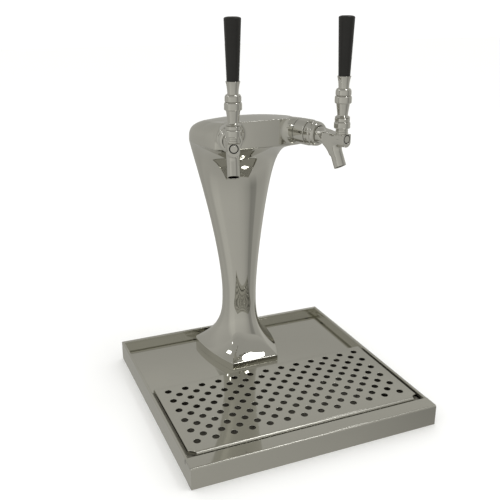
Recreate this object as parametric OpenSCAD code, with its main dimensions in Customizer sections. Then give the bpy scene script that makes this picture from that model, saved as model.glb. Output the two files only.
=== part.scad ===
// Two-tap draft beer tower standing on a drip tray with a lift-out grille and pan.
// Millimetres. Origin: centre of the tray's underside. +X right, +Y back, +Z up; the taps face -Y.

/* [Tray] */
// Width of the tray across its side aprons
tray_w = 355.6; // [340:0.2:380]
// Depth of the tray from its front to its back
tray_d = 355.6; // [345:0.2:380]
// Height of the tray's rim above the counter
tray_h = 30.5; // [29:0.5:36]
// Thickness of the tray's sheet steel
sheet_t = 1.5; // [1:0.1:1.8]
// Width of the hemmed lip along the sides and the back
rim_w = 4; // [3:0.5:6]
// Height of that hemmed lip
rim_h = 4.3; // [3:0.1:6]
// Width of the flat ledge along the front
ledge_w = 23; // [18:1:28]
// Depth of the turned-down edge behind the front ledge
ledge_lip_h = 8; // [5:0.5:10]
// Width of the return flange that rests on the counter
return_w = 12; // [10:0.5:16]
// Depth of the rear deck below the rim
deck_drop = 12.2; // [10:0.2:13]
// Distance from the tray's back to the deck's front edge
deck_d = 160; // [150:1:165]
// Height of the deck's turned-up edge
deck_lip_h = 4; // [2:0.5:6]
// Diameter of the counter screw holes in the return flange
screw_hole_d = 5.5; // [4:0.5:6.5]

/* [Pan and grille] */
// Width of the ledge inside the pan that carries the grille
pan_ledge_w = 8; // [6:0.5:12]
// Height of the grille's turned-down edge, its sheet included
grille_edge_h = 6.5; // [4:0.5:9]
// Gap between the grille and the tray's side lips
grille_side_gap = 3.8; // [3:0.1:6]
// Gap between the grille and the front ledge
grille_front_gap = 4.5; // [2:0.1:5]
// Gap between the grille and the deck
grille_back_gap = 2.5; // [2:0.1:4]
// Radius of the finger notches in the grille's front corners
grille_notch_r = 9; // [6:0.5:11]
// Diameter of the grille's holes
hole_d = 9.5; // [7:0.5:11]
// Distance between neighbouring holes in a row
hole_pitch = 25.4; // [18:0.1:32]
// Distance from the grille's rear edge to the centres of its first row
hole_margin = 15.3; // [10:0.1:18]
// Least distance from the grille's sides to the centres of its holes
hole_side_margin = 15; // [10:0.5:30]
// Least distance from the grille's front to the centres of its holes
hole_front_margin = 20; // [10:0.5:30]

/* [Column] */
// Distance from the tray's back to the column's axis
column_setback = 71.9; // [68:0.1:76]
// Height of the column's crown above the deck
column_h = 385.8; // [340:0.2:440]
// Diameter of the neck
neck_d = 53; // [50:0.5:58]
// Width of the hood at its widest
head_w = 155; // [144:1:162]
// Width of the crown between its side edges
crown_w = 123; // [114:1:130]
// Height of the hood's upright front face
head_h = 37; // [35:0.5:40]
// Reach of the hood's front face ahead of the column's axis
head_reach = 93.2; // [88:0.2:98]
// Reach of the hood's back behind the column's axis
head_back = 54; // [48:1:60]
// Reach of the crown's back edge behind the column's axis
crown_back = 22; // [14:1:30]
// Fall of the crown towards its back edge
crown_fall = 14.5; // [8:0.5:18]
// Width of the foot at its widest
foot_w = 122; // [112:1:130]
// Width of the foot's straight front edge
foot_front_w = 74.7; // [66:0.1:82]
// Reach of the foot's front ahead of the column's axis
foot_reach = 67; // [62:0.5:72]
// Reach of the foot's back behind the column's axis
foot_back = 64; // [56:0.5:66]
// Height of the foot's upright edge
foot_edge_h = 10.7; // [9:0.1:14]
// Height of the flare from that edge up to the neck
foot_flare_h = 92; // [80:1:105]
// Thickness of the column's shell
shell_t = 2.5; // [2:0.1:3]

/* [Column fixings] */
// Thickness of the seal between the column's foot and the deck
seal_t = 1; // [0.5:0.1:1.5]
// Width of the inward lip under the column's foot, its shell included
foot_lip_w = 8; // [5:0.5:9]
// Thickness of that lip
foot_lip_t = 2; // [1.5:0.1:3]
// Thickness of the tapped bars inside the foot
foot_bar_t = 6; // [5:0.5:7]
// Thickness of the backing plate under the deck
backing_t = 4; // [3:0.5:4.5]
// Diameter of the base bolts
bolt_d = 8; // [6:0.5:8]
// Length of the base bolts under the head
bolt_l = 20; // [18:1:22]
// Distance of the base bolts inside the foot's front corners, across the tray
bolt_inset = 3.35; // [1:0.05:6]
// Distance between the base bolts along the tray
bolt_span_y = 86; // [80:1:90]
// Diameter of the line passage through deck and foot
passage_d = 44; // [40:1:46]

/* [Taps] */
// Distance between the centres of the two tap bosses' faces
tap_spread = 104.2; // [100:0.2:110]
// Splay of each tap from straight ahead
tap_splay = 17.9; // [12:0.1:22]
// Depth of the taps' axes below the crown
tap_drop = 16.2; // [15.5:0.1:18]
// Reach of the tap bosses' faces beyond the hood's front face
tap_stand = 6.2; // [4:0.1:9]
// Length of each boss behind its face
boss_l = 20; // [16:1:24]
// Diameter of the shank's thread
shank_d = 26; // [25:0.2:27]
// Diameter of the shank's bore
shank_bore_d = 9.5; // [8:0.1:10]
// Diameter of the collar
collar_d = 35; // [32:0.5:37]
// Length of the collar from the boss
collar_l = 20; // [17:0.5:22]
// Diameter of the coupling nut
nut_d = 33; // [32:0.5:36]
// Length of the coupling nut
nut_l = 15.5; // [14:0.5:17]
// Diameter of the spanner holes in the nut
spanner_hole_d = 4; // [3:0.5:5]

/* [Faucets] */
// Distance from the boss's face to the lever's axis
lever_reach = 74.4; // [72:0.1:80]
// Distance from the lever's axis to the block's front face
block_reach = 9.6; // [9:0.1:12]
// Width of the block
block_w = 16; // [15:0.1:17.5]
// Height of the block's flat top above the tap's axis
block_top = 6.3; // [6:0.1:7]
// Diameter of the barrel
barrel_d = 19; // [18:0.2:20.5]
// Diameter of the bore along the body
body_bore_d = 10; // [9.2:0.1:10.4]
// Outside diameter of the spout
spout_d = 16.2; // [15.5:0.1:17.5]
// Diameter of the spout's bore
spout_bore_d = 13.5; // [12:0.1:13.8]
// Tilt of the spout forward from straight down
spout_tilt = 24; // [18:0.5:26]
// Depth of the spout's outlet below the tap's axis
spout_drop = 37.4; // [34:0.2:42]
// Diameter of the front plug
plug_d = 9.1; // [8.6:0.1:9.6]
// Diameter of the valve rod
rod_d = 7; // [6.6:0.1:7.4]

/* [Levers] */
// Height of the lever's pivot above the tap's axis
pivot_rise = 17.2; // [17:0.1:18]
// Diameter of the lever's ball
ball_d = 15; // [14.6:0.1:15.4]
// Diameter of the bonnet's lower bead
bonnet_d = 20.9; // [20.5:0.1:22]
// Diameter of the bonnet's upper bead
dome_d = 19.3; // [19:0.1:20]
// Radius of the bonnet's round top about the pivot
dome_r = 13.2; // [12.8:0.1:14]
// Turn of the lever from closed to fully open
lever_travel = 24; // [18:1:26]
// Length of the lever's tip below the pivot
tip_l = 15; // [14.6:0.1:15.4]
// Diameter of the lever's neck where it leaves the bonnet
neck_low_d = 13; // [11:0.1:14]
// Diameter of the lever's neck under its bead
neck_high_d = 17.4; // [15:0.1:18.5]
// Length of the lever's neck
lever_neck_l = 14.2; // [12:0.2:18]
// Diameter of the lever's bead
bead_d = 21.5; // [19.5:0.1:23]
// Height of the lever's bead
bead_h = 9.4; // [8:0.1:11]
// Diameter of the handle's locknut
locknut_d = 20; // [18:0.1:21.5]
// Height of the handle's locknut
locknut_h = 9; // [7:0.1:11]
// Diameter of the ferrule's waist
ferrule_low_d = 13.4; // [12:0.1:15]
// Diameter of the ferrule's mouth
ferrule_high_d = 17.6; // [16:0.1:19]
// Height of the ferrule
ferrule_h = 15; // [12:0.5:20]
// Diameter of the grip at its foot
grip_low_d = 14.9; // [13:0.1:16]
// Diameter of the grip at its top
grip_high_d = 20.3; // [18:0.1:24]
// Height of the grip above the ferrule, its domed end included
grip_h = 72; // [60:1:90]

/* [Beer lines] */
// Diameter of the beer tubes
tube_d = 9.5; // [8:0.1:9.5]
// Wall of the beer tubes
tube_t = 1.2; // [0.8:0.1:1.5]
// Distance between the two tubes in the neck
tube_gap = 20; // [18:0.5:22]
// Diameter of the insulation sleeve
sleeve_d = 40; // [38:0.5:42]
// Length of the insulation sleeve
sleeve_l = 177; // [120:3:201]
// Height of the tail's open end above the counter
tail_lift = 3; // [2:0.5:6]

/* [Hidden] */
$fn = 72;

// Overrun of every cut
cut = 1;
// Rest gap between pieces that lie on each other but part in use
rest_gap = 0.3;
// Radial clearance of screwed and slid fits
fit = 0.1;
// Clearance of the pan in the tray
pan_clear = 1;

// Heights and places that the pieces share
deck_z = tray_h - deck_drop;
deck_front = tray_d / 2 - deck_d;
axis_y = tray_d / 2 - column_setback;
foot_z = deck_z + seal_t;
crown_z = deck_z + column_h;
head_z = crown_z - head_h;
neck_z = foot_z + foot_edge_h + foot_flare_h;
tap_z = crown_z - tap_drop;
tap_reach = head_reach + tap_stand;
bolt_span_x = foot_front_w - 2 * bolt_inset;
backing_z = deck_z - sheet_t - backing_t;
half_inner_w = tray_w / 2 - sheet_t;
ledge_y = ledge_w - tray_d / 2;

function mix(a, b, s) = a + (b - a) * s;
function ease(s) = s * s * (3 - 2 * s);
function bend(a, b, c, s) = (1 - s) * (1 - s) * a + 2 * s * (1 - s) * b + s * s * c;
function unit(v) = v / norm(v);

// A rectangular ring between two outlines
module ring2d(outer, inner) {
    difference() {
        square(outer, center = true);
        square(inner, center = true);
    }
}

module at_corners(span_x, span_y) {
    for (sx = [-1, 1], sy = [-1, 1]) translate([sx * span_x / 2, sy * span_y / 2]) children();
}

// Tray frame: aprons, return flange, hemmed lips on three sides and the wide front ledge
module tray_frame() {
    screw_inset = (sheet_t + return_w) / 2;
    screw_front = deck_front + 2 * screw_inset;
    screw_back = tray_d / 2 - screw_inset;
    color("silver") {
        linear_extrude(tray_h)
            ring2d([tray_w, tray_d], [tray_w - 2 * sheet_t, tray_d - 2 * sheet_t]);
        linear_extrude(sheet_t) difference() {
            ring2d([tray_w, tray_d], [tray_w - 2 * return_w, tray_d - 2 * return_w]);
            translate([0, (screw_front + screw_back) / 2])
                at_corners(tray_w - 2 * screw_inset, screw_back - screw_front) circle(d = screw_hole_d);
        }
        translate([0, 0, tray_h - rim_h]) linear_extrude(rim_h) difference() {
            square([tray_w, tray_d], center = true);
            translate([rim_w - tray_w / 2, -tray_d / 2 - cut])
                square([tray_w - 2 * rim_w, tray_d - rim_w + cut]);
        }
        translate([-tray_w / 2, -tray_d / 2, tray_h - sheet_t]) cube([tray_w, ledge_w, sheet_t]);
        translate([-tray_w / 2 + rim_w, ledge_y - sheet_t, tray_h - ledge_lip_h])
            cube([tray_w - 2 * rim_w, sheet_t, ledge_lip_h]);
    }
}

// Holes through deck and backing plate for the base bolts and the lines
module base_holes2d(bolt_hole_d) {
    translate([0, axis_y]) {
        circle(d = passage_d);
        at_corners(bolt_span_x, bolt_span_y) circle(d = bolt_hole_d);
    }
}

// Rear deck: recessed sheet with turned-up edges and a turned-down front
module tower_deck() {
    deck_w = 2 * half_inner_w;
    back = tray_d / 2 - sheet_t;
    color("silver") difference() {
        union() {
            translate([-half_inner_w, deck_front, deck_z - sheet_t])
                cube([deck_w, back - deck_front, sheet_t]);
            translate([-half_inner_w, deck_front, sheet_t])
                cube([deck_w, sheet_t, deck_z - 2 * sheet_t]);
            for (s = [-1, 1])
                translate([s * (half_inner_w - sheet_t / 2) - sheet_t / 2, deck_front, deck_z - sheet_t])
                    cube([sheet_t, back - deck_front, sheet_t + deck_lip_h]);
            translate([-half_inner_w, back - sheet_t, deck_z - sheet_t])
                cube([deck_w, sheet_t, sheet_t + deck_lip_h]);
        }
        translate([0, 0, deck_z - sheet_t - cut]) linear_extrude(sheet_t + 2 * cut)
            base_holes2d(bolt_d + 2 * rest_gap);
    }
}

// Backing plate that spreads the bolts' pull under the deck
module backing_plate() {
    margin = 3 * bolt_d;
    color("gray") translate([0, 0, backing_z]) linear_extrude(backing_t) difference() {
        translate([0, axis_y]) square([bolt_span_x + margin, bolt_span_y + margin], center = true);
        base_holes2d(bolt_d + 2 * rest_gap);
    }
}

// Base bolts, put in from below, each on a washer
washer_t = 1.5;

module base_bolts() {
    head_across = 1.6 * bolt_d;
    head_t = 0.65 * bolt_d;
    color("gray") translate([0, axis_y, backing_z - washer_t]) at_corners(bolt_span_x, bolt_span_y) {
        cylinder(d = bolt_d, h = bolt_l);
        translate([0, 0, -head_t]) cylinder(r = head_across / sqrt(3), h = head_t, $fn = 6);
    }
}

module base_washers() {
    color("gray") translate([0, axis_y, backing_z - washer_t]) linear_extrude(washer_t)
        at_corners(bolt_span_x, bolt_span_y) difference() {
            circle(d = 2 * bolt_d);
            circle(d = bolt_d + 2 * fit);
        }
}

// Rubber grommet that lines the passage, flanged over the backing plate's underside
module line_grommet() {
    wall = 2.5;
    lip = 3;
    lip_t = 2;
    color("dimgray") translate([0, axis_y, backing_z]) difference() {
        union() {
            cylinder(d = passage_d - 2 * fit, h = deck_z - backing_z);
            translate([0, 0, -lip_t]) cylinder(d = passage_d + 2 * lip, h = lip_t);
        }
        translate([0, 0, -lip_t - cut])
            cylinder(d = passage_d - 2 * wall, h = deck_z - backing_z + lip_t + 2 * cut);
    }
}

// Drip pan: lifts straight out of the bay between the front ledge and the deck
pan_z = sheet_t + rest_gap;
pan_half_w = tray_w / 2 - rim_w - pan_clear;
pan_front = ledge_y + pan_clear;
pan_back = deck_front - pan_clear;
pan_top = tray_h - grille_edge_h - rest_gap;

module pan_block(inset, low, high) {
    translate([-pan_half_w + inset, pan_front + inset, low])
        cube([2 * (pan_half_w - inset), pan_back - pan_front - 2 * inset, high - low]);
}

module drip_pan() {
    color("darkgray") difference() {
        pan_block(0, pan_z, pan_top);
        pan_block(sheet_t, pan_z + sheet_t, pan_top - sheet_t);
        pan_block(pan_ledge_w, pan_z + sheet_t, pan_top + cut);
    }
}

// Grille: perforated sheet with a turned-down edge and a finger notch in each front corner
grille_half_w = tray_w / 2 - rim_w - grille_side_gap;
grille_front = ledge_y + grille_front_gap;
grille_back = deck_front - grille_back_gap;

module grille2d(inset) {
    half_w = grille_half_w - inset;
    front = grille_front + inset;
    difference() {
        translate([-half_w, front]) square([2 * half_w, grille_back - inset - front]);
        for (s = [-1, 1]) translate([s * grille_half_w, grille_front]) circle(grille_notch_r + inset);
    }
}

module hole_row(count, y) {
    for (i = [0 : count - 1])
        translate([(i - (count - 1) / 2) * hole_pitch, y]) circle(d = hole_d, $fn = 36);
}

module drip_grille() {
    first_y = grille_back - hole_margin;
    cols = 1 + floor(2 * (grille_half_w - hole_side_margin) / hole_pitch);
    rows = 1 + floor((first_y - grille_front - hole_front_margin) / hole_pitch);
    color("silver") {
        translate([0, 0, tray_h - sheet_t]) linear_extrude(sheet_t) difference() {
            grille2d(0);
            for (j = [0 : rows - 1]) hole_row(cols, first_y - j * hole_pitch);
            for (j = [0 : rows - 2]) hole_row(cols - 1, first_y - (j + 1 / 2) * hole_pitch);
        }
        translate([0, 0, tray_h - grille_edge_h]) linear_extrude(grille_edge_h) difference() {
            grille2d(0);
            grille2d(sheet_t);
        }
    }
}

// Column outlines. An outline runs from the middle of its front round the right to the middle of
// its back. It is [front, back, half width, widest place, corner, turn, bevel], with places along
// Y from the column's axis; corner, turn and bevel are shares that shape the front corner.
FRONT = 0;
BACK = 1;
HALF_W = 2;
WIDEST = 3;
CORNER = 4;
TURN = 5;
BEVEL = 6;
front_steps = 5;
side_steps = 9;
back_steps = 10;
round_share = tan(22.5);
foot_shares = [foot_front_w / foot_w, 0.48, 0];
neck_shares = [round_share, round_share, 1 / 2];
head_shares = [0.84, 0.42, 0.25];
crown_shares = [0.94, 0.6, 0.2];
foot_outline = concat([-foot_reach, foot_back, foot_w / 2, 0.6 * foot_back], foot_shares);
neck_outline = concat([-neck_d / 2, neck_d / 2, neck_d / 2, 0], neck_shares);
head_outline = concat([-head_reach, head_back, head_w / 2, -0.16 * head_reach], head_shares);
crown_outline = concat([-head_reach, crown_back, crown_w / 2, -0.32 * head_reach], crown_shares);

function front_point(o, s) =
    let (c = [o[CORNER] * o[HALF_W], o[FRONT]])
    let (t = [o[HALF_W], mix(o[WIDEST], o[FRONT], o[TURN])])
    bend([0, o[FRONT]], c, mix(c, t, o[BEVEL]), s);
function side_point(o, s) =
    let (c = [o[CORNER] * o[HALF_W], o[FRONT]])
    let (t = [o[HALF_W], mix(o[WIDEST], o[FRONT], o[TURN])])
    bend(mix(c, t, o[BEVEL]), t, [o[HALF_W], o[WIDEST]], s);
function back_point(o, s) =
    [o[HALF_W] * cos(90 * s), mix(o[WIDEST], o[BACK], sin(90 * s))];
function half_outline(o) = concat(
    [for (k = [0 : front_steps - 1]) front_point(o, k / front_steps)],
    [for (k = [0 : side_steps - 1]) side_point(o, k / side_steps)],
    [for (k = [0 : back_steps]) back_point(o, k / back_steps)]
);
function whole_outline(o) =
    let (h = half_outline(o))
    concat(h, [for (k = [len(h) - 2 : -1 : 1]) [-h[k][0], h[k][1]]]);

// How far the flare has grown at a share of its height, from the neck down to the foot
flare_power = 3.2;
// The hood's growth from the neck up: width, front and corner each follow their own power
width_power = 1.5;
lip_power = 18;
lip_share = 0.11;
front_power = 9.5;
corner_power = 40;
lean_share = 0.25;
sag_share = 0.29;

function flare_outline(s) = mix(neck_outline, foot_outline, pow(1 - s, flare_power));
function hood_outline(s) =
    let (n = neck_outline, h = head_outline)
    let (grown = mix(pow(s, width_power), pow(s, lip_power), lip_share))
    let (lean = lean_share * head_back * ease(s))
    [
        mix(n[FRONT], h[FRONT], pow(s, front_power)),
        mix(n[BACK], h[BACK], ease(s)),
        mix(n[HALF_W], h[HALF_W], grown),
        mix(lean, h[WIDEST], pow(s, lip_power)),
        mix(n[CORNER], h[CORNER], pow(s, corner_power)),
        mix(n[TURN], h[TURN], s),
        mix(n[BEVEL], h[BEVEL], pow(s, corner_power))
    ];

// The crown's height over a point: level along its front, falling to the sides and the back
side_share = 0.3;
level_share = 1 / 3;
function crown_at(x, y) =
    let (back = max(0, (y + head_reach) / (crown_back + head_reach)))
    let (side = 2 * x / crown_w)
    let (fall = max(0, (back - level_share) / (1 - level_share)))
    crown_z - crown_fall * (fall * fall + side_share * side * side * min(1, back / level_share));

function level_ring(o, z) = [for (p = whole_outline(o)) [p[0], p[1], z]];
function hood_ring(s) =
    let (o = hood_outline(s))
    [for (p = whole_outline(o))
        let (rear = max(0, (p[1] - o[WIDEST]) / (o[BACK] - o[WIDEST])))
        [p[0], p[1], mix(neck_z, head_z, s) - sag_share * head_w / 2 * pow(s, 3) * rear * rear]];
function crown_ring(scale_share) =
    [for (p = whole_outline(crown_outline))
        let (q = [p[0] * scale_share, mix(crown_middle, p[1], scale_share)])
        [q[0], q[1], crown_at(q[0], q[1])]];
crown_middle = (crown_back - head_reach) / 2;
round_power = 3.8;
function cheek_ring(s) =
    let (low = hood_ring(1), top = crown_ring(1))
    [for (k = [0 : len(low) - 1])
        let (out = 1 - pow(s, round_power))
        [
            mix(top[k][0], low[k][0], out),
            mix(top[k][1], low[k][1], out),
            mix(low[k][2], top[k][2], s)
        ]];

flare_rings = 8;
hood_rings = 15;
cheek_rings = 5;
cap_shares = [0.75, 0.45, 0.15];
column_rings = concat(
    [level_ring(foot_outline, foot_z)],
    [for (k = [0 : flare_rings])
        let (s = k / flare_rings)
        level_ring(flare_outline(s), foot_z + foot_edge_h + foot_flare_h * s)],
    [for (k = [1 : hood_rings]) hood_ring(1 - pow(1 - k / hood_rings, 2))],
    [for (k = [1 : cheek_rings]) cheek_ring(k / cheek_rings)],
    [for (k = cap_shares) crown_ring(k)]
);

// The inner skin lies the shell's thickness inside the outer one, along its normals
function normal_at(rings, k, j) =
    let (n = len(rings[k]), low = max(k - 1, 0), high = min(k + 1, len(rings) - 1))
    let (along = rings[k][(j + 1) % n] - rings[k][(j + n - 1) % n])
    unit(cross(along, rings[high][j] - rings[low][j]));
function inner_ring(rings, k, t) =
    [for (j = [0 : len(rings[k]) - 1]) rings[k][j] - t * normal_at(rings, k, j)];
function foot_inset(t) =
    let (half_w = foot_w / 2 - t, corner_x = foot_front_w / 2 - t)
    let (shares = [corner_x / half_w, foot_shares[1], foot_shares[2]])
    whole_outline(concat([t - foot_reach, foot_back - t, half_w, foot_outline[WIDEST]], shares));
function raise(outline, z) = [for (q = outline) [q[0], q[1], z]];
function middle(ring) = [for (k = [0 : 2]) sum(ring, k) / len(ring)];
function sum(ring, axis, k = 0) =
    k == len(ring) ? 0 : ring[k][axis] + sum(ring, axis, k + 1);

// Triangles between neighbouring rings; the last ring of the outer skin closes on a point
function skin_faces(count, n, start, flip) = [
    for (k = [0 : count - 2], j = [0 : n - 1], half = [0, 1])
        let (a = start + k * n + j, b = start + k * n + (j + 1) % n)
        let (tri = half == 0 ? [a, a + n, b] : [b, a + n, b + n])
        flip ? [tri[0], tri[2], tri[1]] : tri
];
function cap_faces(n, start, tip, flip) = [
    for (j = [0 : n - 1])
        let (a = start + j, b = start + (j + 1) % n)
        flip ? [a, b, tip] : [a, tip, b]
];
function ring_faces(n, outer, inner, flip) = [
    for (j = [0 : n - 1], half = [0, 1])
        let (i = (j + 1) % n)
        let (tri = half == 0 ? [outer + j, outer + i, inner + j] : [outer + i, inner + i, inner + j])
        flip ? [tri[0], tri[2], tri[1]] : tri
];

module column_shell() {
    n = len(column_rings[0]);
    count = len(column_rings);
    kept = [for (k = [1 : count - 1]) if (k % 2 == 1 || k >= count - 4) k];
    lip_top = foot_z + foot_lip_t;
    inner = concat(
        [for (z = [foot_z, lip_top]) raise(foot_inset(foot_lip_w), z)],
        [raise(foot_inset(shell_t), lip_top)],
        [for (k = kept) inner_ring(column_rings, k, shell_t)]
    );
    tip = middle(column_rings[count - 1]);
    points = concat(
        [for (ring = column_rings) each ring], [tip],
        [for (ring = inner) each ring], [tip - [0, 0, shell_t]]
    );
    outer_tip = count * n;
    inner_start = outer_tip + 1;
    inner_tip = inner_start + len(inner) * n;
    polyhedron(points, concat(
        skin_faces(count, n, 0, false),
        cap_faces(n, (count - 1) * n, outer_tip, false),
        skin_faces(len(inner), n, inner_start, true),
        cap_faces(n, inner_start + (len(inner) - 1) * n, inner_tip, true),
        ring_faces(n, 0, inner_start, false)
    ), convexity = 6);
}

// Places along a tap: x runs out along the tap's axis from its boss's face, z is up
module tap_place(side) {
    translate([side * tap_spread / 2, axis_y - tap_reach, tap_z])
        rotate([0, 0, side * tap_splay - 90]) children();
}

module rod(from, to, d) {
    translate([from, 0, 0]) rotate([0, 90, 0]) cylinder(d = d, h = to - from);
}

module turned(profile) {
    rotate([0, 90, 0]) rotate_extrude() polygon([for (p = profile) [p[1], p[0]]]);
}

// Column: one flared shell with a tapped boss for each shank. Its lip gives way to the base bolts
module tower_column() {
    color("silver") difference() {
        union() {
            translate([0, axis_y, 0]) column_shell();
            for (side = [-1, 1]) tap_place(side) rod(-boss_l, 0, 2 * tap_drop);
        }
        for (side = [-1, 1]) tap_place(side) rod(-boss_l - cut, cut, shank_d + 2 * fit);
        translate([0, axis_y, foot_z - cut]) at_corners(bolt_span_x, bolt_span_y)
            cylinder(d = bolt_d + 2 * rest_gap, h = foot_lip_t + 2 * cut);
    }
}

// Two tapped bars that bear on the lip inside the foot and take the base bolts
module foot_bars() {
    outline = foot_inset(shell_t + rest_gap);
    color("gray") translate([0, axis_y, foot_z + foot_lip_t]) linear_extrude(foot_bar_t) difference() {
        polygon(outline);
        square([foot_w, passage_d], center = true);
        at_corners(bolt_span_x, bolt_span_y) circle(d = bolt_d + 2 * fit);
    }
}

// Seal under the column's foot, cut to the foot's outline
module base_seal() {
    color("dimgray") translate([0, 0, deck_z]) linear_extrude(seal_t) difference() {
        translate([0, axis_y]) polygon(whole_outline(foot_outline));
        base_holes2d(bolt_d + 2 * rest_gap);
    }
}

// Beer lines: each tube leaves its shank, bends down and runs through the sleeve to its tail
tube_seat = 8;
tube_bend_r = 19;
tube_run_l = 43;
tube_sides = 10;
bend_steps = 6;
sleeve_z = neck_z - sleeve_l / 3;
sleeve_top = sleeve_z + sleeve_l;

function tap_point(side, x, z) =
    let (a = side * tap_splay - 90)
    [side * tap_spread / 2 + x * cos(a), axis_y - tap_reach + x * sin(a), tap_z + z];

// The tube's centre line, from its tail's top up to its seat in the shank
function tube_path(side) =
    let (line = [side * tube_gap / 2, axis_y])
    let (turn_x = -shank_back_l - tube_run_l)
    let (knee = tap_point(side, turn_x - tube_bend_r, -tube_bend_r))
    let (low = sleeve_top + tube_d)
    concat(
        [[line[0], line[1], sleeve_z], [line[0], line[1], sleeve_top]],
        [for (k = [0 : 2 * bend_steps - 1])
            let (s = k / bend_steps / 2)
            [mix(line[0], knee[0], ease(s)), mix(line[1], knee[1], ease(s)), mix(low, knee[2], s)]],
        [for (k = [0 : bend_steps])
            let (a = 90 * k / bend_steps)
            tap_point(side, turn_x - tube_bend_r * cos(a), tube_bend_r * (sin(a) - 1))],
        [tap_point(side, tube_seat - shank_back_l, 0)]
    );

// A round ring about one point of a path; across is a level line square to the tap
function tube_ring(path, k, across, r) =
    let (t = unit(path[min(k + 1, len(path) - 1)] - path[max(k - 1, 0)]))
    let (n = unit(cross(t, across)))
    let (m = cross(n, t))
    [for (j = [0 : tube_sides - 1])
        let (a = 360 * j / tube_sides)
        path[k] + r * (cos(a) * n + sin(a) * m)];

module beer_tube(side) {
    path = tube_path(side);
    across = [cos(side * tap_splay), sin(side * tap_splay), 0];
    count = len(path);
    outer = [for (k = [0 : count - 1]) each tube_ring(path, k, across, tube_d / 2)];
    inner = [for (k = [0 : count - 1]) each tube_ring(path, k, across, tube_d / 2 - tube_t)];
    start = count * tube_sides;
    color("whitesmoke") polyhedron(concat(outer, inner), concat(
        skin_faces(count, tube_sides, 0, true),
        skin_faces(count, tube_sides, start, false),
        ring_faces(tube_sides, 0, start, true),
        ring_faces(tube_sides, (count - 1) * tube_sides, start + (count - 1) * tube_sides, false)
    ), convexity = 6);
}

module line_tail(side) {
    color("whitesmoke") translate([side * tube_gap / 2, axis_y, tail_lift]) difference() {
        cylinder(d = tube_d, h = sleeve_z - tail_lift);
        translate([0, 0, -cut]) cylinder(d = tube_d - 2 * tube_t, h = sleeve_z - tail_lift + 2 * cut);
    }
}

module insulation_sleeve() {
    color("dimgray") translate([0, axis_y, sleeve_z]) difference() {
        cylinder(d = sleeve_d, h = sleeve_l);
        for (side = [-1, 1]) translate([side * tube_gap / 2, 0, -cut])
            cylinder(d = tube_d + 2 * fit, h = sleeve_l + 2 * cut);
    }
}

// Tap fixings, all turned about the tap's axis
shank_tail_l = 12;
shank_back_l = boss_l + shank_tail_l;
shank_l = 6;
recess_wall = 3;
recess_l = 12;
edge_cut = 1;
nut_x = collar_l + rest_gap;
nut_end = nut_x + nut_l;
body_x = collar_l + shank_l + rest_gap;
flange_t = 3.7;
flange_end = body_x + flange_t;
flange_d = shank_d - 2 * rest_gap;
barrel_root_d = 22.4;

module shank_seal(side) {
    color("black") tap_place(side) difference() {
        rod(0, seal_t, collar_d - edge_cut);
        rod(-cut, seal_t + cut, shank_d + 2 * fit);
    }
}

module shank(side) {
    front = collar_l + shank_l;
    color("silver") tap_place(side) difference() {
        union() {
            rod(-boss_l, front, shank_d);
            rod(-shank_back_l, -boss_l + cut, tube_d + 2 * recess_wall);
        }
        rod(-shank_back_l - cut, front + cut, shank_bore_d);
        rod(-shank_back_l - cut, tube_seat - shank_back_l, tube_d + 2 * fit);
        rod(front - recess_l, front + cut, shank_d - 2 * recess_wall);
    }
}

module shank_collar(side) {
    in_r = shank_d / 2 + fit;
    out_r = collar_d / 2;
    color("silver") tap_place(side) turned([
        [seal_t, in_r], [seal_t, out_r - edge_cut], [seal_t + edge_cut, out_r],
        [collar_l - edge_cut, out_r], [collar_l, out_r - edge_cut], [collar_l, in_r]
    ]);
}

spanner_holes = 8;
spanner_depth = 2;
nut_front_d = 24.6;
nut_flat_share = 0.56;
nut_groove_w = 0.8;
nut_step = 0.8;
curve_steps = 8;

module coupling_nut(side) {
    thread_r = shank_d / 2 + fit;
    neck_r = barrel_root_d / 2 + rest_gap;
    out_r = nut_d / 2;
    flat_x = nut_x + nut_flat_share * nut_l;
    color("silver") tap_place(side) difference() {
        turned(concat(
            [
                [nut_x, thread_r], [nut_x, out_r - edge_cut], [nut_x + edge_cut, out_r],
                [flat_x, out_r], [flat_x + nut_groove_w, out_r - 2 * nut_step]
            ],
            [for (k = [0 : curve_steps])
                let (a = 90 * k / curve_steps)
                [
                    mix(flat_x + 2 * nut_groove_w, nut_end, sin(a)),
                    mix(nut_front_d / 2, out_r - nut_step, cos(a))
                ]],
            [[nut_end, neck_r], [flange_end + rest_gap, neck_r], [flange_end + rest_gap, thread_r]]
        ));
        for (k = [0 : spanner_holes - 1]) rotate([360 * (k + 1 / 2) / spanner_holes, 0, 0])
            translate([mix(nut_x, flat_x, 1 / 2), 0, out_r - spanner_depth])
                cylinder(d = spanner_hole_d, h = spanner_depth + cut, $fn = 24);
    }
}

// Faucet: barrel, block and slanted spout, with the lever's well on top
block_end = lever_reach + block_reach;
block_x = lever_reach - spout_drop * tan(spout_tilt);
block_round_drop = 2.7;
stub_d = 15.3;
skirt_h = 4;
bonnet_z = pivot_rise - skirt_h;
bonnet_wall = 1.15;
cup_d = bonnet_d - 2 * (bonnet_wall + fit);
well_d = ball_d + 2 * rest_gap;
front_wall = 3.5;
bore_end = block_end - front_wall;
port_d = 8;
port_l = 10;
groove_w = 1.2;
groove_depth = 1;
stem_low_d = 3.4;
tip_d = 3.8;
stem_high_d = 6.4;

// The room that a stem needs, pivoting about the origin from upright to fully tilted
module swing(d, reach) {
    r = d / 2 + rest_gap;
    tilted = [reach * sin(lever_travel), reach * cos(lever_travel)];
    off = [r * cos(lever_travel), -r * sin(lever_travel)];
    rotate([90, 0, 0]) linear_extrude(2 * r, center = true)
        polygon([[-r, 0], [-r, reach], [tilted[0] + off[0], reach], tilted + off, off]);
}

module lever_place() {
    translate([lever_reach, 0, pivot_rise]) children();
}

module spout_place() {
    translate([block_x, 0, 0]) rotate([0, 180 - spout_tilt, 0]) children();
}

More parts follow.
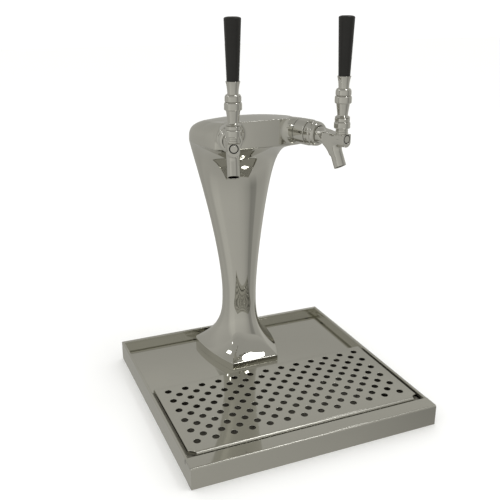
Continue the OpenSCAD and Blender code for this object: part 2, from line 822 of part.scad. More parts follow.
module block() {
    r = block_w / 2;
    half_d = barrel_d / 2;
    intersection() {
        translate([block_x - r, 0, 0]) rotate([90, 0, 90]) linear_extrude(block_end - block_x + r)
            polygon(concat(
                [[-r, block_top], [-r, -block_round_drop]],
                [for (k = [1 : 3 * curve_steps])
                    let (a = 180 * k / curve_steps / 3)
                    [-r * cos(a), -block_round_drop - r * sin(a)]],
                [[r, block_top]]
            ));
        turned([
            [block_x - r, 0], [block_x - r, half_d], [block_x, 1.4 * half_d],
            [block_end + cut, 1.4 * half_d], [block_end + cut, 0]
        ]);
    }
}

// Web that rounds the corner between barrel and spout
web_w = 11;
web_l = 13;
web_h = 24;
web_reach_share = 0.75;

module web() {
    root = [block_x + web_h * tan(spout_tilt), -web_h];
    low = [block_x + web_h * tan(spout_tilt) - web_reach_share * spout_d / 2, -web_h];
    corner = [block_x - block_w / 2, -barrel_d / 2];
    rotate([90, 0, 0]) linear_extrude(web_w, center = true) polygon(concat(
        [[block_x, 0], [block_x - web_l, 0]],
        [for (k = [0 : curve_steps])
            bend([block_x - web_l, -0.45 * barrel_d], corner, low, k / curve_steps)],
        [root]
    ));
}

module faucet_body(side) {
    spout_l = spout_drop / cos(spout_tilt);
    taper_l = (block_x - flange_end) / 2;
    merge_l = 0.75 * block_w;
    color("silver") tap_place(side) difference() {
        union() {
            turned(concat(
                [[body_x, 0], [body_x, flange_d / 2], [flange_end, flange_d / 2]],
                [for (k = [0 : curve_steps])
                    let (s = k / curve_steps)
                    [flange_end + taper_l * s, mix(barrel_root_d, barrel_d, ease(s)) / 2]],
                [for (k = [0 : curve_steps])
                    let (a = 90 * k / curve_steps)
                    [block_x + merge_l * (sin(a) - 1 / 2), mix(block_top, barrel_d / 2, cos(a))]],
                [[block_x + merge_l / 2, 0]]
            ));
            block();
            web();
            spout_place() cylinder(d = spout_d, h = spout_l);
            translate([lever_reach, 0, 0]) cylinder(d = stub_d, h = bonnet_z + cut);
            translate([lever_reach, 0, bonnet_z]) cylinder(d = cup_d, h = skirt_h - rest_gap);
        }
        rod(body_x - cut, bore_end, body_bore_d);
        rod(bore_end - cut, block_end + cut, plug_d + 2 * fit);
        rod(block_end - groove_depth, block_end + cut, plug_d + 2 * groove_w);
        spout_place() cylinder(d = port_d, h = port_l + cut);
        spout_place() translate([0, 0, port_l]) cylinder(d = spout_bore_d, h = spout_l);
        lever_place() sphere(d = well_d);
        lever_place() rotate([0, 180, 0]) swing(tip_d, tip_l + tip_d / 2 + rest_gap);
    }
}

module front_plug(side) {
    color("silver") tap_place(side) rod(bore_end - rest_gap, block_end, plug_d);
}

// Valve: the rod that the lever's tip draws back, its washer and the ring that seals it
seat_gap = 0.3;
washer_l = 3;
washer_d = 15.6;
rod_head_d = 12;
rod_head_l = 2;
rod_seal_l = 1.2;
rod_fit = 0.05;
rod_tip_l = 4;
tip_back = tip_l * sin(lever_travel) + tip_d / 2 + 2 * rest_gap;
rod_seal_x = lever_reach - tip_back - rod_seal_l;
washer_x = body_x - seat_gap - washer_l;
rod_x = washer_x - rod_head_l;

module rod_seal(side) {
    color("black") tap_place(side) difference() {
        rod(rod_seal_x, rod_seal_x + rod_seal_l, body_bore_d - 2 * rod_fit);
        rod(rod_seal_x - cut, rod_seal_x + rod_seal_l + cut, rod_d + 2 * rod_fit);
    }
}

module valve_rod(side) {
    slot_w = tip_d + 2 * rest_gap;
    slot_floor = pivot_rise - tip_l - tip_d / 2 - 2 * rest_gap;
    color("silver") tap_place(side) difference() {
        union() {
            rod(rod_x, lever_reach + rod_tip_l, rod_d);
            rod(rod_x, washer_x, rod_head_d);
        }
        translate([lever_reach - slot_w / 2, -slot_w / 2, slot_floor]) cube([slot_w, slot_w, rod_d]);
    }
}

module valve_washer(side) {
    color("black") tap_place(side) difference() {
        rod(washer_x, washer_x + washer_l, washer_d);
        rod(washer_x - cut, washer_x + washer_l + cut, rod_d + 2 * rod_fit);
    }
}

// A bead's edge from its underside to its top, rounded at both
function bead(r, low_z, high_z, low_round, high_round) = concat(
    [for (k = [0 : edge_steps])
        let (a = 90 * k / edge_steps)
        [r - low_round * (1 - sin(a)), low_z + low_round * (1 - cos(a))]],
    [for (k = [0 : edge_steps])
        let (a = 90 * k / edge_steps)
        [r - high_round * (1 - cos(a)), high_z - high_round * (1 - sin(a))]]
);

// Bonnet: two beads that screw over the well and hold the lever's ball
edge_steps = 4;
small_round = 1.4;
large_round = 3;
bonnet_low_h = 8.6;

module bonnet(side) {
    low_r = bonnet_d / 2;
    high_r = dome_d / 2;
    waist_z = bonnet_low_h - skirt_h;
    color("silver") tap_place(side) lever_place() difference() {
        rotate_extrude() polygon(concat(
            [[0, -skirt_h]],
            bead(low_r, -skirt_h, waist_z, small_round, large_round),
            [[high_r - small_round, waist_z], [high_r, waist_z + small_round]],
            [for (k = [0 : curve_steps])
                let (a = mix(asin(high_r / dome_r), 0, k / curve_steps))
                [dome_r * sin(a), dome_r * cos(a)]]
        ));
        sphere(d = well_d);
        translate([0, 0, -skirt_h - cut]) cylinder(d = cup_d + 2 * fit, h = skirt_h + cut);
        swing(stem_high_d, dome_r + cut);
    }
}

// Lever: ball with a tip below, stem, neck and bead above, and a stud for the handle
stud_d = 9.5;
stud_grip_l = 20;
bead_z = dome_r + rest_gap + lever_neck_l;
locknut_z = bead_z + bead_h + rest_gap;
ferrule_z = locknut_z + locknut_h;
grip_seat = 3;
grip_z = ferrule_z + ferrule_h - grip_seat;
stud_top = ferrule_z + ferrule_h + stud_grip_l;
groove_share = 0.7;
neck_share = 0.62;

module lever(side) {
    low_z = dome_r + rest_gap;
    bead_r = bead_d / 2;
    color("silver") tap_place(side) lever_place() {
        sphere(d = ball_d);
        translate([0, 0, -tip_l]) cylinder(d = stem_low_d, h = tip_l);
        translate([0, 0, -tip_l]) sphere(d = tip_d, $fn = 36);
        cylinder(d = stem_high_d, h = low_z + cut);
        rotate_extrude() polygon(concat(
            [
                [0, low_z], [neck_low_d / 2, low_z],
                [mix(neck_low_d, neck_high_d, neck_share) / 2, low_z + lever_neck_l / 2],
                [neck_high_d / 2, bead_z]
            ],
            bead(bead_r, bead_z, bead_z + bead_h, small_round, large_round),
            [
                [groove_share * bead_r, bead_z + bead_h], [groove_share * bead_r, locknut_z],
                [stud_d / 2, locknut_z], [stud_d / 2, stud_top], [0, stud_top]
            ]
        ));
    }
}

module handle_locknut(side) {
    in_r = stud_d / 2 + fit;
    color("silver") tap_place(side) lever_place() translate([0, 0, locknut_z]) rotate_extrude()
        polygon(concat(
            [[in_r, 0]],
            bead(locknut_d / 2, 0, locknut_h, small_round, large_round),
            [[in_r, locknut_h]]
        ));
}

module handle_ferrule(side) {
    in_r = stud_d / 2 + fit;
    mouth_r = grip_low_d / 2 + fit;
    color("silver") tap_place(side) lever_place() translate([0, 0, ferrule_z]) rotate_extrude()
        polygon(concat(
            [[in_r, 0]],
            [for (k = [0 : curve_steps])
                let (s = k / curve_steps)
                [mix(ferrule_low_d, ferrule_high_d, s * s) / 2, ferrule_h * s]],
            [[mouth_r, ferrule_h], [mouth_r, ferrule_h - grip_seat], [in_r, ferrule_h - grip_seat]]
        ));
}

module handle_grip(side) {
    end_h = grip_seat + grip_h;
    dome_h = 2.4;
    high_r = grip_high_d / 2;
    color("#2b2a26") tap_place(side) lever_place() translate([0, 0, grip_z]) difference() {
        rotate_extrude() polygon(concat(
            [[0, 0], [grip_low_d / 2, 0], [grip_low_d / 2, grip_seat]],
            [for (k = [0 : curve_steps])
                let (a = 90 * k / curve_steps)
                [high_r * cos(a), end_h - dome_h + dome_h * sin(a)]]
        ));
        translate([0, 0, -cut]) cylinder(d = stud_d + 2 * fit, h = stud_top - grip_z + 2 * cut);
    }
}

tray_frame();
tower_deck();
backing_plate();
base_seal();
base_bolts();
base_washers();
line_grommet();
drip_pan();
drip_grille();
tower_column();
foot_bars();
insulation_sleeve();
beer_tube(-1);  // beer_tube_left
beer_tube(1);  // beer_tube_right
line_tail(-1);  // line_tail_left
line_tail(1);  // line_tail_right
shank_seal(-1);  // shank_seal_left
shank_seal(1);  // shank_seal_right
shank(-1);  // shank_left
shank(1);  // shank_right
shank_collar(-1);  // shank_collar_left
shank_collar(1);  // shank_collar_right
coupling_nut(-1);  // coupling_nut_left
coupling_nut(1);  // coupling_nut_right
faucet_body(-1);  // faucet_body_left
faucet_body(1);  // faucet_body_right
front_plug(-1);  // front_plug_left
front_plug(1);  // front_plug_right
rod_seal(-1);  // rod_seal_left
rod_seal(1);  // rod_seal_right
valve_rod(-1);  // valve_rod_left
valve_rod(1);  // valve_rod_right
valve_washer(-1);  // valve_washer_left
valve_washer(1);  // valve_washer_right
bonnet(-1);  // bonnet_left
bonnet(1);  // bonnet_right
lever(-1);  // lever_left
lever(1);  // lever_right
handle_locknut(-1);  // handle_locknut_left
handle_locknut(1);  // handle_locknut_right
handle_ferrule(-1);  // handle_ferrule_left
handle_ferrule(1);  // handle_ferrule_right
handle_grip(-1);  // handle_grip_left
handle_grip(1);  // handle_grip_right
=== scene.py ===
"""Draft beer tower: two taps on a flared column over a drip tray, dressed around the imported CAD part."""

from math import asin, atan2, cos, pi, radians, sin, sqrt, tan

import bmesh
import bpy
import numpy as np
from bpy.props import FloatProperty, FloatVectorProperty, IntProperty, PointerProperty
from mathutils import Matrix, Vector
from mathutils.geometry import delaunay_2d_cdt


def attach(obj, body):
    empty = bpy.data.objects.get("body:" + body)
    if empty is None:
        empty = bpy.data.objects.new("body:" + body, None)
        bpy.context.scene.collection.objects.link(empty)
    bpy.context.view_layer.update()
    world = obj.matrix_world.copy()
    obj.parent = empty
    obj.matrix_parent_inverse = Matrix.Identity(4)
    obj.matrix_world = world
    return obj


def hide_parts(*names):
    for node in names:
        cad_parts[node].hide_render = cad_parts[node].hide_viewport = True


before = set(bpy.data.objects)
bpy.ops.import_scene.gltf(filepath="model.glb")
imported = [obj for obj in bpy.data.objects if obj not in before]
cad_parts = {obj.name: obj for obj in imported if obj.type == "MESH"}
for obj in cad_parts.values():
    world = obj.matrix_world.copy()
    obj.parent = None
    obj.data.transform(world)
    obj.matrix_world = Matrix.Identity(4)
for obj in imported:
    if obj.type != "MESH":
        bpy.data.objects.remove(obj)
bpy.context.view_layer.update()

bl_info = {
    "name": "Draft Beer Tower",
    "version": (1, 0, 0),
    "blender": (4, 5, 0),
    "location": "3D View > Sidebar > Beer Tower",
    "description": "Builds the visible pieces, finishes and stage of a two-tap draft beer tower",
    "category": "Add Mesh",
}

MM = 0.001
SIDES = (("left", -1), ("right", 1))
# Rest gap between pieces that move or stack, and fit round a thread
GAP, FIT = 0.3 * MM, 0.1 * MM
SPANNER_HOLES = 8


def linear(srgb_hex):
    """A colour written as #rrggbb, as Blender's linear red, green, blue and alpha."""
    shares = [int(srgb_hex[k : k + 2], 16) / 255 for k in (1, 3, 5)]
    return [c / 12.92 if c <= 0.04045 else ((c + 0.055) / 1.055) ** 2.4 for c in shares] + [1.0]


def size(label, text, millimetres):
    return FloatProperty(name=label, description=text, default=millimetres * MM, unit="LENGTH", precision=4)


def turn(label, text, degrees):
    return FloatProperty(name=label, description=text, default=radians(degrees), subtype="ANGLE")


def colour(label, text, srgb_hex):
    return FloatVectorProperty(
        name=label, description=text, size=4, min=0, max=1, subtype="COLOR", default=linear(srgb_hex)
    )


# Sizes and colours


class TrayShape(bpy.types.PropertyGroup):
    """The drip tray's frame, deck and grille"""

    width: size("Width", "Across the side aprons", 355.6)
    depth: size("Depth", "From the front apron to the back one", 355.6)
    height: size("Height", "Rim above the counter", 30.5)
    sheet: size("Sheet", "Thickness of the folded sheet", 1.5)
    hem_w: size("Hem width", "Hemmed lip along the sides and the back", 4)
    hem_h: size("Hem height", "Depth of the hemmed lip", 4.3)
    ledge: size("Front ledge", "Flat ledge along the front", 23)
    ledge_lip: size("Ledge lip", "Turned-down edge behind the ledge", 8)
    return_w: size("Return flange", "Flange that rests on the counter", 12)
    deck_drop: size("Deck drop", "Rear deck below the rim", 12.2)
    deck: size("Deck depth", "From the tray's back to the deck's front", 160)
    grille_edge: size("Grille edge", "Turned-down edge of the grille", 6.5)
    side_gap: size("Grille side gap", "Between grille and side lips", 3.8)
    front_gap: size("Grille front gap", "Between grille and front ledge", 4.5)
    back_gap: size("Grille back gap", "Between grille and deck", 2.5)
    notch: size("Finger notch", "Radius of the notches in the grille's front corners", 9)
    hole: size("Hole", "Diameter of the grille's holes", 9.5)
    pitch: size("Hole pitch", "Between neighbouring holes of a row", 25.4)
    margin: size("Hole margin", "From the grille's rear edge to its first row", 15.3)
    columns: IntProperty(name="Hole columns", description="Holes in each full row", default=13)
    rows: IntProperty(name="Hole rows", description="Full rows of holes", default=6)


class ColumnShape(bpy.types.PropertyGroup):
    """The flared column and its hood"""

    setback: size("Setback", "From the tray's back to the column's axis", 71.9)
    height: size("Height", "Crown above the deck", 385.8)
    seal: size("Seal", "Rubber between foot and deck", 1)
    neck: size("Neck", "Diameter of the neck", 53)
    head_w: size("Hood width", "Hood at its widest", 155)
    crown_w: size("Crown width", "Between the crown's side edges", 123)
    head_h: size("Face height", "Upright front face of the hood", 37)
    head_reach: size("Front reach", "Front face ahead of the axis", 93.2)
    head_back: size("Back reach", "Hood behind the axis", 54)
    crown_back: size("Crown reach", "Crown's back edge behind the axis", 22)
    crown_fall: size("Crown fall", "Fall of the crown to its back edge", 14.5)
    foot_w: size("Foot width", "Foot at its widest", 122)
    foot_front: size("Foot front", "Straight front edge of the foot", 74.7)
    foot_reach: size("Foot reach", "Foot ahead of the axis", 67)
    foot_back: size("Foot back", "Foot behind the axis", 64)
    foot_edge: size("Foot edge", "Upright edge of the foot", 10.7)
    flare: size("Flare", "From the foot's edge up to the neck", 92)
    shell: size("Shell", "Thickness of the shell", 2.5)
    lip: size("Foot lip", "Inward lip under the foot", 8)


class TapShape(bpy.types.PropertyGroup):
    """The shank fixings and the faucets"""

    spread: size("Spread", "Between the two tap bosses' faces", 104.2)
    splay: turn("Splay", "Each tap from straight ahead", 17.9)
    drop: size("Drop", "Tap axis below the crown", 16.2)
    reach: size("Boss reach", "Boss faces ahead of the column's axis", 99.4)
    boss: size("Boss length", "Boss behind its face", 20)
    flare: size("Boss flare", "Rounding between boss and hood", 6)
    thread: size("Thread", "Diameter of the shank's thread", 26)
    collar_d: size("Collar diameter", "Shank collar", 35)
    collar: size("Collar length", "From the boss", 20)
    nut_d: size("Nut diameter", "Coupling nut", 33)
    nut: size("Nut length", "Coupling nut", 15.5)
    spanner: size("Spanner hole", "Diameter of the holes in the nut", 4)
    lever_reach: size("Lever reach", "From the boss's face to the lever's axis", 74.4)
    block_reach: size("Block reach", "From the lever's axis to the block's face", 9.6)
    block_w: size("Block width", "Across the block's flats", 16)
    block_top: size("Block top", "Flat top above the tap's axis", 6.3)
    barrel_d: size("Barrel", "Diameter of the barrel", 19)
    root_d: size("Barrel root", "Diameter of the barrel at the nut", 22.4)
    bore_d: size("Bore", "Bore along the body", 10)
    spout_d: size("Spout", "Outside diameter of the spout", 16.2)
    spout_bore: size("Spout bore", "Bore of the spout", 13.5)
    tilt: turn("Spout tilt", "Spout forward from straight down", 24)
    cut: turn("Spout cut", "Outlet's face from square to the spout", 5)
    spout_drop: size("Spout drop", "Outlet below the tap's axis", 37.4)
    plug_d: size("Front plug", "Diameter of the plug", 9.1)


class LeverShape(bpy.types.PropertyGroup):
    """The bonnets, levers and handles"""

    pivot: size("Pivot", "Lever's pivot above the tap's axis", 17.2)
    ball: size("Ball", "Diameter of the lever's ball", 15)
    bonnet_d: size("Bonnet", "Diameter of the lower bead", 20.9)
    dome_d: size("Bonnet top", "Diameter of the upper bead", 19.3)
    dome_r: size("Dome", "Radius of the bonnet's round top", 13.2)
    travel: turn("Travel", "Lever from closed to open", 24)
    tip: size("Tip", "Lever's tip below the pivot", 15)
    neck_low: size("Neck foot", "Diameter where the neck leaves the bonnet", 13)
    neck_high: size("Neck top", "Diameter under the bead", 17.4)
    neck: size("Neck length", "Lever's neck", 14.2)
    bead_d: size("Bead", "Diameter of the lever's bead", 21.5)
    bead: size("Bead height", "Lever's bead", 9.4)
    locknut_d: size("Locknut", "Diameter of the handle's locknut", 20)
    locknut: size("Locknut height", "Handle's locknut", 9)
    waist: size("Ferrule waist", "Diameter of the ferrule's waist", 13.4)
    mouth: size("Ferrule mouth", "Diameter of the ferrule's mouth", 17.6)
    ferrule: size("Ferrule height", "Ferrule", 15)
    grip_low: size("Grip foot", "Diameter of the grip at its foot", 14.9)
    grip_high: size("Grip top", "Diameter of the grip at its top", 20.3)
    grip: size("Grip height", "Grip above the ferrule", 72)


class Finishes(bpy.types.PropertyGroup):
    """Colours of the finishes"""

    polished: colour("Polished steel", "Mirror-polished stainless steel", "#d8d7d0")
    sheet: colour("Sheet steel", "Bright rolled stainless sheet", "#d5d4cc")
    chrome: colour("Chrome", "Chromed brass of the taps", "#dad9d3")
    # The drip pan's darker tone is painted shade under the grille
    pan: colour("Drip pan", "Stained steel of the drip pan", "#a8a69e")
    # Near-black tone for the spout's bore: painted shade inside the spout
    plain: colour("Zinc", "Zinc-plated fixings", "#b9bcbd")
    cast: colour("Spout bore", "Unpolished bore of the spout", "#1b1a18")
    rubber: colour("Rubber", "Black seal rubber", "#151514")
    foam: colour("Foam", "Closed-cell insulation", "#2a2a2b")
    tube: colour("Tube", "Beer tube", "#d9d7cd")
    grip: colour("Grip", "Black moulded grip", "#141311")
    floor: colour("Floor", "Pale floor", "#fafaf8")


# Materials

# Brightness of polished metal where the mop has left it cloudy
DULLED = 0.94


def add_node(tree, kind, inputs=None, **settings):
    """Adds a shader node, sets its settings and sets or links its inputs."""
    node = tree.nodes.new(kind)
    for name, value in settings.items():
        setattr(node, name, value)
    for name, value in (inputs or {}).items():
        if isinstance(value, bpy.types.NodeSocket):
            tree.links.new(value, node.inputs[name])
        else:
            node.inputs[name].default_value = value
    return node


def new_material(name):
    """An empty material with its shader, and the two as (material, tree, shader)."""
    material = bpy.data.materials.new(name)
    material.use_nodes = True
    tree = material.node_tree
    tree.nodes.clear()
    shader = add_node(tree, "ShaderNodeBsdfPrincipled")
    add_node(tree, "ShaderNodeOutputMaterial", {"Surface": shader.outputs["BSDF"]})
    return material, tree, shader


def steel(name, tone, low_rough, high_rough, cloud, wave, wave_size, fold=0.0):
    """Bare metal: cloud is the size of its polish's cloudy patches, wave the depth of its waviness.

    The press has dulled the sheet's folds along the front and the back to the roughness fold.
    """
    material, tree, shader = new_material(name)
    places = add_node(tree, "ShaderNodeTexCoord").outputs
    cloudy = {"Vector": places["Object"], "Scale": 1 / cloud, "Detail": 4, "Roughness": 0.6}
    patches = add_node(tree, "ShaderNodeTexNoise", cloudy).outputs["Fac"]
    # The noise keeps between 0.3 and 0.7 nearly everywhere
    spread = {"Value": patches, "From Min": 0.3, "From Max": 0.7, "To Min": low_rough, "To Max": high_rough}
    rough = add_node(tree, "ShaderNodeMapRange", spread).outputs["Result"]
    dull = [c * DULLED for c in tone[:3]] + [1]
    tint = add_node(tree, "ShaderNodeMix", {"Factor": patches, "A": tone, "B": dull}, data_type="RGBA")
    wavy = {"Vector": places["Object"], "Scale": 1 / wave_size, "Detail": 1}
    swell = add_node(tree, "ShaderNodeTexNoise", wavy).outputs["Fac"]
    relief = add_node(tree, "ShaderNodeBump", {"Height": swell, "Distance": wave, "Strength": 1.0})
    if fold:
        # A fold faces up and to the front or back at once, so its normal's Y and Z are both large
        facing = add_node(tree, "ShaderNodeSeparateXYZ", {"Vector": places["Normal"]}).outputs
        both = add_node(tree, "ShaderNodeMath", {0: facing["Y"], 1: facing["Z"]}, operation="MULTIPLY")
        steep = {"Value": both.outputs["Value"], "From Min": -0.15, "From Max": -0.4}
        folded = add_node(tree, "ShaderNodeMapRange", steep).outputs["Result"]
        rough = add_node(tree, "ShaderNodeMix", {0: folded, 2: rough, 3: fold}).outputs[0]
    tree.links.new(tint.outputs["Result"], shader.inputs["Base Color"])
    tree.links.new(rough, shader.inputs["Roughness"])
    tree.links.new(relief.outputs["Normal"], shader.inputs["Normal"])
    shader.inputs["Metallic"].default_value = 1.0
    return material


def moulded(name, tone, rough, grain, depth, ior):
    """Moulded plastic, rubber or foam: grain is the size of its surface's pores, depth their depth."""
    material, tree, shader = new_material(name)
    place = add_node(tree, "ShaderNodeTexCoord").outputs["Object"]
    pores = add_node(tree, "ShaderNodeTexNoise", {"Vector": place, "Scale": 1 / grain, "Detail": 3})
    patchy = {"Vector": place, "Scale": 1 / (12 * MM), "Detail": 3}
    patches = add_node(tree, "ShaderNodeTexNoise", patchy).outputs["Fac"]
    spread = {"Value": patches, "To Min": rough * 0.88, "To Max": rough * 1.12}
    sheen = add_node(tree, "ShaderNodeMapRange", spread)
    light = [min(1, c * 1.25 + 0.002) for c in tone[:3]] + [1]
    tint = add_node(tree, "ShaderNodeMix", {"Factor": patches, "A": tone, "B": light}, data_type="RGBA")
    bumps = {"Height": pores.outputs["Fac"], "Distance": depth, "Strength": 1.0}
    relief = add_node(tree, "ShaderNodeBump", bumps)
    tree.links.new(tint.outputs["Result"], shader.inputs["Base Color"])
    tree.links.new(sheen.outputs["Result"], shader.inputs["Roughness"])
    tree.links.new(relief.outputs["Normal"], shader.inputs["Normal"])
    shader.inputs["IOR"].default_value = ior
    return material


# Each finish: how it is made, its colour's name and its measures
FINISHES = {
    # Stainless steel, buffed to a mirror: sharp reflections, faintly cloudy where the mop has passed
    "mirror_polished_stainless": (steel, "polished", 0.015, 0.04, 45 * MM, 0.02 * MM, 70 * MM),
    # Bright annealed stainless sheet: clear reflections that waver a little, as rolled sheet does
    "bright_stainless_sheet": (steel, "sheet", 0.03, 0.07, 60 * MM, 0.04 * MM, 60 * MM, 0.28),
    # Chromed brass: the clearest reflections of all, over a hand-polished casting
    "chromed_brass": (steel, "chrome", 0.02, 0.05, 12 * MM, 0.01 * MM, 20 * MM),
    # Zinc-plated steel: dull grey, spangled
    "zinc_plated_steel": (steel, "plain", 0.25, 0.42, 3 * MM, 0.02 * MM, 2 * MM),
    # Rough, near-black metal lining the spout's bore: painted shade inside the spout
    "as_cast_bore": (steel, "cast", 0.6, 0.8, 2 * MM, 0.05 * MM, 1 * MM),
    # The drip pan is satin steel, darkened as painted shade under the grille
    "stained_satin_steel": (steel, "pan", 0.35, 0.55, 20 * MM, 0.05 * MM, 15 * MM),
    # Seal rubber: matt black
    "nitrile_rubber": (moulded, "rubber", 0.7, 0.8 * MM, 0.02 * MM, 1.52),
    # Closed-cell foam: matt, finely pored
    "closed_cell_foam": (moulded, "foam", 0.9, 1.2 * MM, 0.15 * MM, 1.4),
    # Polyethylene tube: milky and waxy
    "polyethylene_tube": (moulded, "tube", 0.35, 3 * MM, 0.01 * MM, 1.51),
    # Phenolic grip: black, satin, with the faint grain of its mould
    "satin_black_phenolic": (moulded, "grip", 0.36, 0.7 * MM, 0.015 * MM, 1.47),
}
# The CAD pieces that are shown as they are, by finish; those in pairs end in left and right
DRESSED = {
    "bright_stainless_sheet": ["tower_deck"],
    "stained_satin_steel": ["drip_pan"],
    "zinc_plated_steel": ["backing_plate", "base_bolts", "base_washers", "foot_bars"],
    "nitrile_rubber": ["base_seal", "line_grommet"],
    "closed_cell_foam": ["insulation_sleeve"],
}
DRESSED_PAIRS = {
    "zinc_plated_steel": ["shank_", "valve_rod_"],
    "nitrile_rubber": ["rod_seal_", "valve_washer_"],
    "polyethylene_tube": ["beer_tube_", "line_tail_"],
}


def finish(name):
    """The material of that name, made the first time it is asked for."""
    found = bpy.data.materials.get(name)
    if found:
        return found
    make, tone, *measures = FINISHES[name]
    return make(name, list(getattr(bpy.context.scene.beer_tower_finishes, tone)), *measures)


# Shapes


def mix(start, end, part):
    return start + (end - start) * part


def ease(part):
    return part * part * (3 - 2 * part)


def bend(start, corner, end, part):
    """A point on the curve that leaves start towards corner and arrives at end."""
    return (1 - part) ** 2 * start + 2 * part * (1 - part) * corner + part**2 * end


def softened(corners, closed=True, steps=4):
    """The outline through corners, each (x, y) or (x, y, round), with a short curve for each round."""
    points = []
    count = len(corners)
    for i, corner in enumerate(corners):
        here = np.array(corner[:2], float)
        reach = corner[2] if len(corner) > 2 and (closed or 0 < i < count - 1) else 0
        if not reach:
            points.append(here)
            continue
        ends = []
        for j in (i - 1, (i + 1) % count):
            step = np.array(corners[j][:2], float) - here
            length = np.linalg.norm(step)
            ends.append(here + step / length * min(reach, length * 0.48))
        points += [bend(ends[0], here, ends[1], k / steps) for k in range(steps + 1)]
    return np.array(points)


def turned(profile, closed=True, steps=96):
    """Vertices and faces of a profile of (along, out) points, turned about the Z axis."""
    verts, rings = [], []
    for along, out in profile:
        if out < 1e-7:
            rings.append([len(verts)])
            verts.append((0, 0, along))
        else:
            rings.append(range(len(verts), len(verts) + steps))
            angles = [2 * pi * k / steps for k in range(steps)]
            verts += [(out * cos(a), out * sin(a), along) for a in angles]
    faces = []
    for low, high in zip(rings, rings[1:] + (rings[:1] if closed else [])):
        for k in range(steps):
            quad = [low[j % len(low)] for j in (k, k + 1)] + [high[j % len(high)] for j in (k + 1, k)]
            face = list(dict.fromkeys(quad))
            if len(face) > 2:
                faces.append(face)
    return verts, faces


def grid_faces(count, n, start=0):
    """The faces between count rings of n points each, the first of them numbered start."""
    return [
        [low + j, low + (j + 1) % n, low + n + (j + 1) % n, low + n + j]
        for low in range(start, start + (count - 1) * n, n)
        for j in range(n)
    ]


def extruded(outline, ends):
    """Vertices and faces of a closed outline carried through ends, each a function from (u, v) to a place."""
    count = len(outline)
    verts = [place(u, v) for place in ends for u, v in outline]
    last = len(verts) - count
    return verts, grid_faces(len(ends), count) + [list(range(count))[::-1], list(range(last, len(verts)))]


def joined(*parts):
    """Several (vertices, faces) as one."""
    verts, faces = [], []
    for some_verts, some_faces in parts:
        faces += [[k + len(verts) for k in face] for face in some_faces]
        verts += list(some_verts)
    return verts, faces


def moved(part, matrix):
    return [matrix @ Vector(v) for v in part[0]], part[1]


def make_object(name, part, crease=35, weld=0.0):
    """A mesh object with its normals outward, smooth but for edges sharper than crease degrees."""
    mesh = bpy.data.meshes.new(name)
    mesh.from_pydata([tuple(v) for v in part[0]], [], part[1])
    tidy = bmesh.new()
    tidy.from_mesh(mesh)
    if weld:
        bmesh.ops.remove_doubles(tidy, verts=tidy.verts, dist=weld)
    bmesh.ops.recalc_face_normals(tidy, faces=tidy.faces)
    tidy.to_mesh(mesh)
    tidy.free()
    mesh.shade_smooth()
    mesh.set_sharp_from_angle(angle=radians(crease))
    made = bpy.data.objects.new(name, mesh)
    bpy.context.scene.collection.objects.link(made)
    return made


def carve(target, part, crease=35):
    """Cuts a (vertices, faces) solid out of an object."""
    cutter = make_object("cutter", part)
    tool = target.modifiers.new("carve", "BOOLEAN")
    tool.object, tool.operation, tool.solver = cutter, "DIFFERENCE", "EXACT"
    graph = bpy.context.evaluated_depsgraph_get()
    mesh = bpy.data.meshes.new_from_object(target.evaluated_get(graph))
    target.modifiers.clear()
    target.data = mesh
    mesh.shade_smooth()
    mesh.set_sharp_from_angle(angle=radians(crease))
    bpy.data.objects.remove(cutter)


def settle(made, body, material, stands_for=(), even=True):
    """Gives a piece its material and body, and hides the CAD nodes that it stands for."""
    made.data.materials.clear()
    made.data.materials.append(finish(material))
    if even:
        made.modifiers.new("even_normals", "WEIGHTED_NORMAL").keep_sharp = True
    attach(made, body)
    if stands_for:
        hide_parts(*stands_for)
    return made


def dress(node, material):
    """Gives a CAD node its material."""
    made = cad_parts[node]
    made.data.materials.clear()
    made.data.materials.append(finish(material))


def spun(name, profile, place, node=None, body="tower", closed=True, cut=None):
    """A chromed piece turned about its own axis and put in place, less the solid cut."""
    made = make_object(name, moved(turned(profile, closed), place))
    if cut:
        carve(made, cut)
    return settle(made, body, "chromed_brass", [node] if node else ())


def tap_matrix(side):
    """From a tap's own frame, X outward along the tap and Z up, to the part's frame."""
    tray = bpy.context.scene.beer_tower_tray
    column = bpy.context.scene.beer_tower_column
    tap = bpy.context.scene.beer_tower_tap
    axis_y = tray.depth / 2 - column.setback
    crown_z = tray.height - tray.deck_drop + column.height
    place = Vector((side * tap.spread / 2, axis_y - tap.reach, crown_z - tap.drop))
    return Matrix.Translation(place) @ Matrix.Rotation(side * tap.splay - pi / 2, 4, "Z")


def along_tap(side):
    """The frame of pieces turned about the tap's axis."""
    return tap_matrix(side) @ Matrix.Rotation(pi / 2, 4, "Y")


def lever_matrix(side):
    """The frame of pieces turned about the lever, with its origin at the pivot."""
    tap = bpy.context.scene.beer_tower_tap
    lever = bpy.context.scene.beer_tower_lever
    return tap_matrix(side) @ Matrix.Translation((tap.lever_reach, 0, lever.pivot))


# Column

FRONT_STEPS, SIDE_STEPS, BACK_STEPS = 44, 60, 44
FLARE_RINGS, HOOD_RINGS, CHEEK_RINGS = 44, 84, 36
CROWN_PARTS = (0.97, 0.93, 0.87, 0.8, 0.72, 0.63, 0.53, 0.42, 0.31, 0.2, 0.1, 0.03)
ROUND_SHARE, APRON_SHARE = tan(pi / 8), 1.003
FLARE_POWER, WIDTH_POWER, LIP_POWER, FRONT_POWER, CORNER_POWER, ROUND_POWER = 3.2, 1.5, 18, 9.5, 40, 3.8
LIP_SHARE, LEAN_SHARE, SAG_SHARE, SIDE_SHARE, LEVEL_SHARE = 0.11, 0.25, 0.29, 0.3, 1 / 3


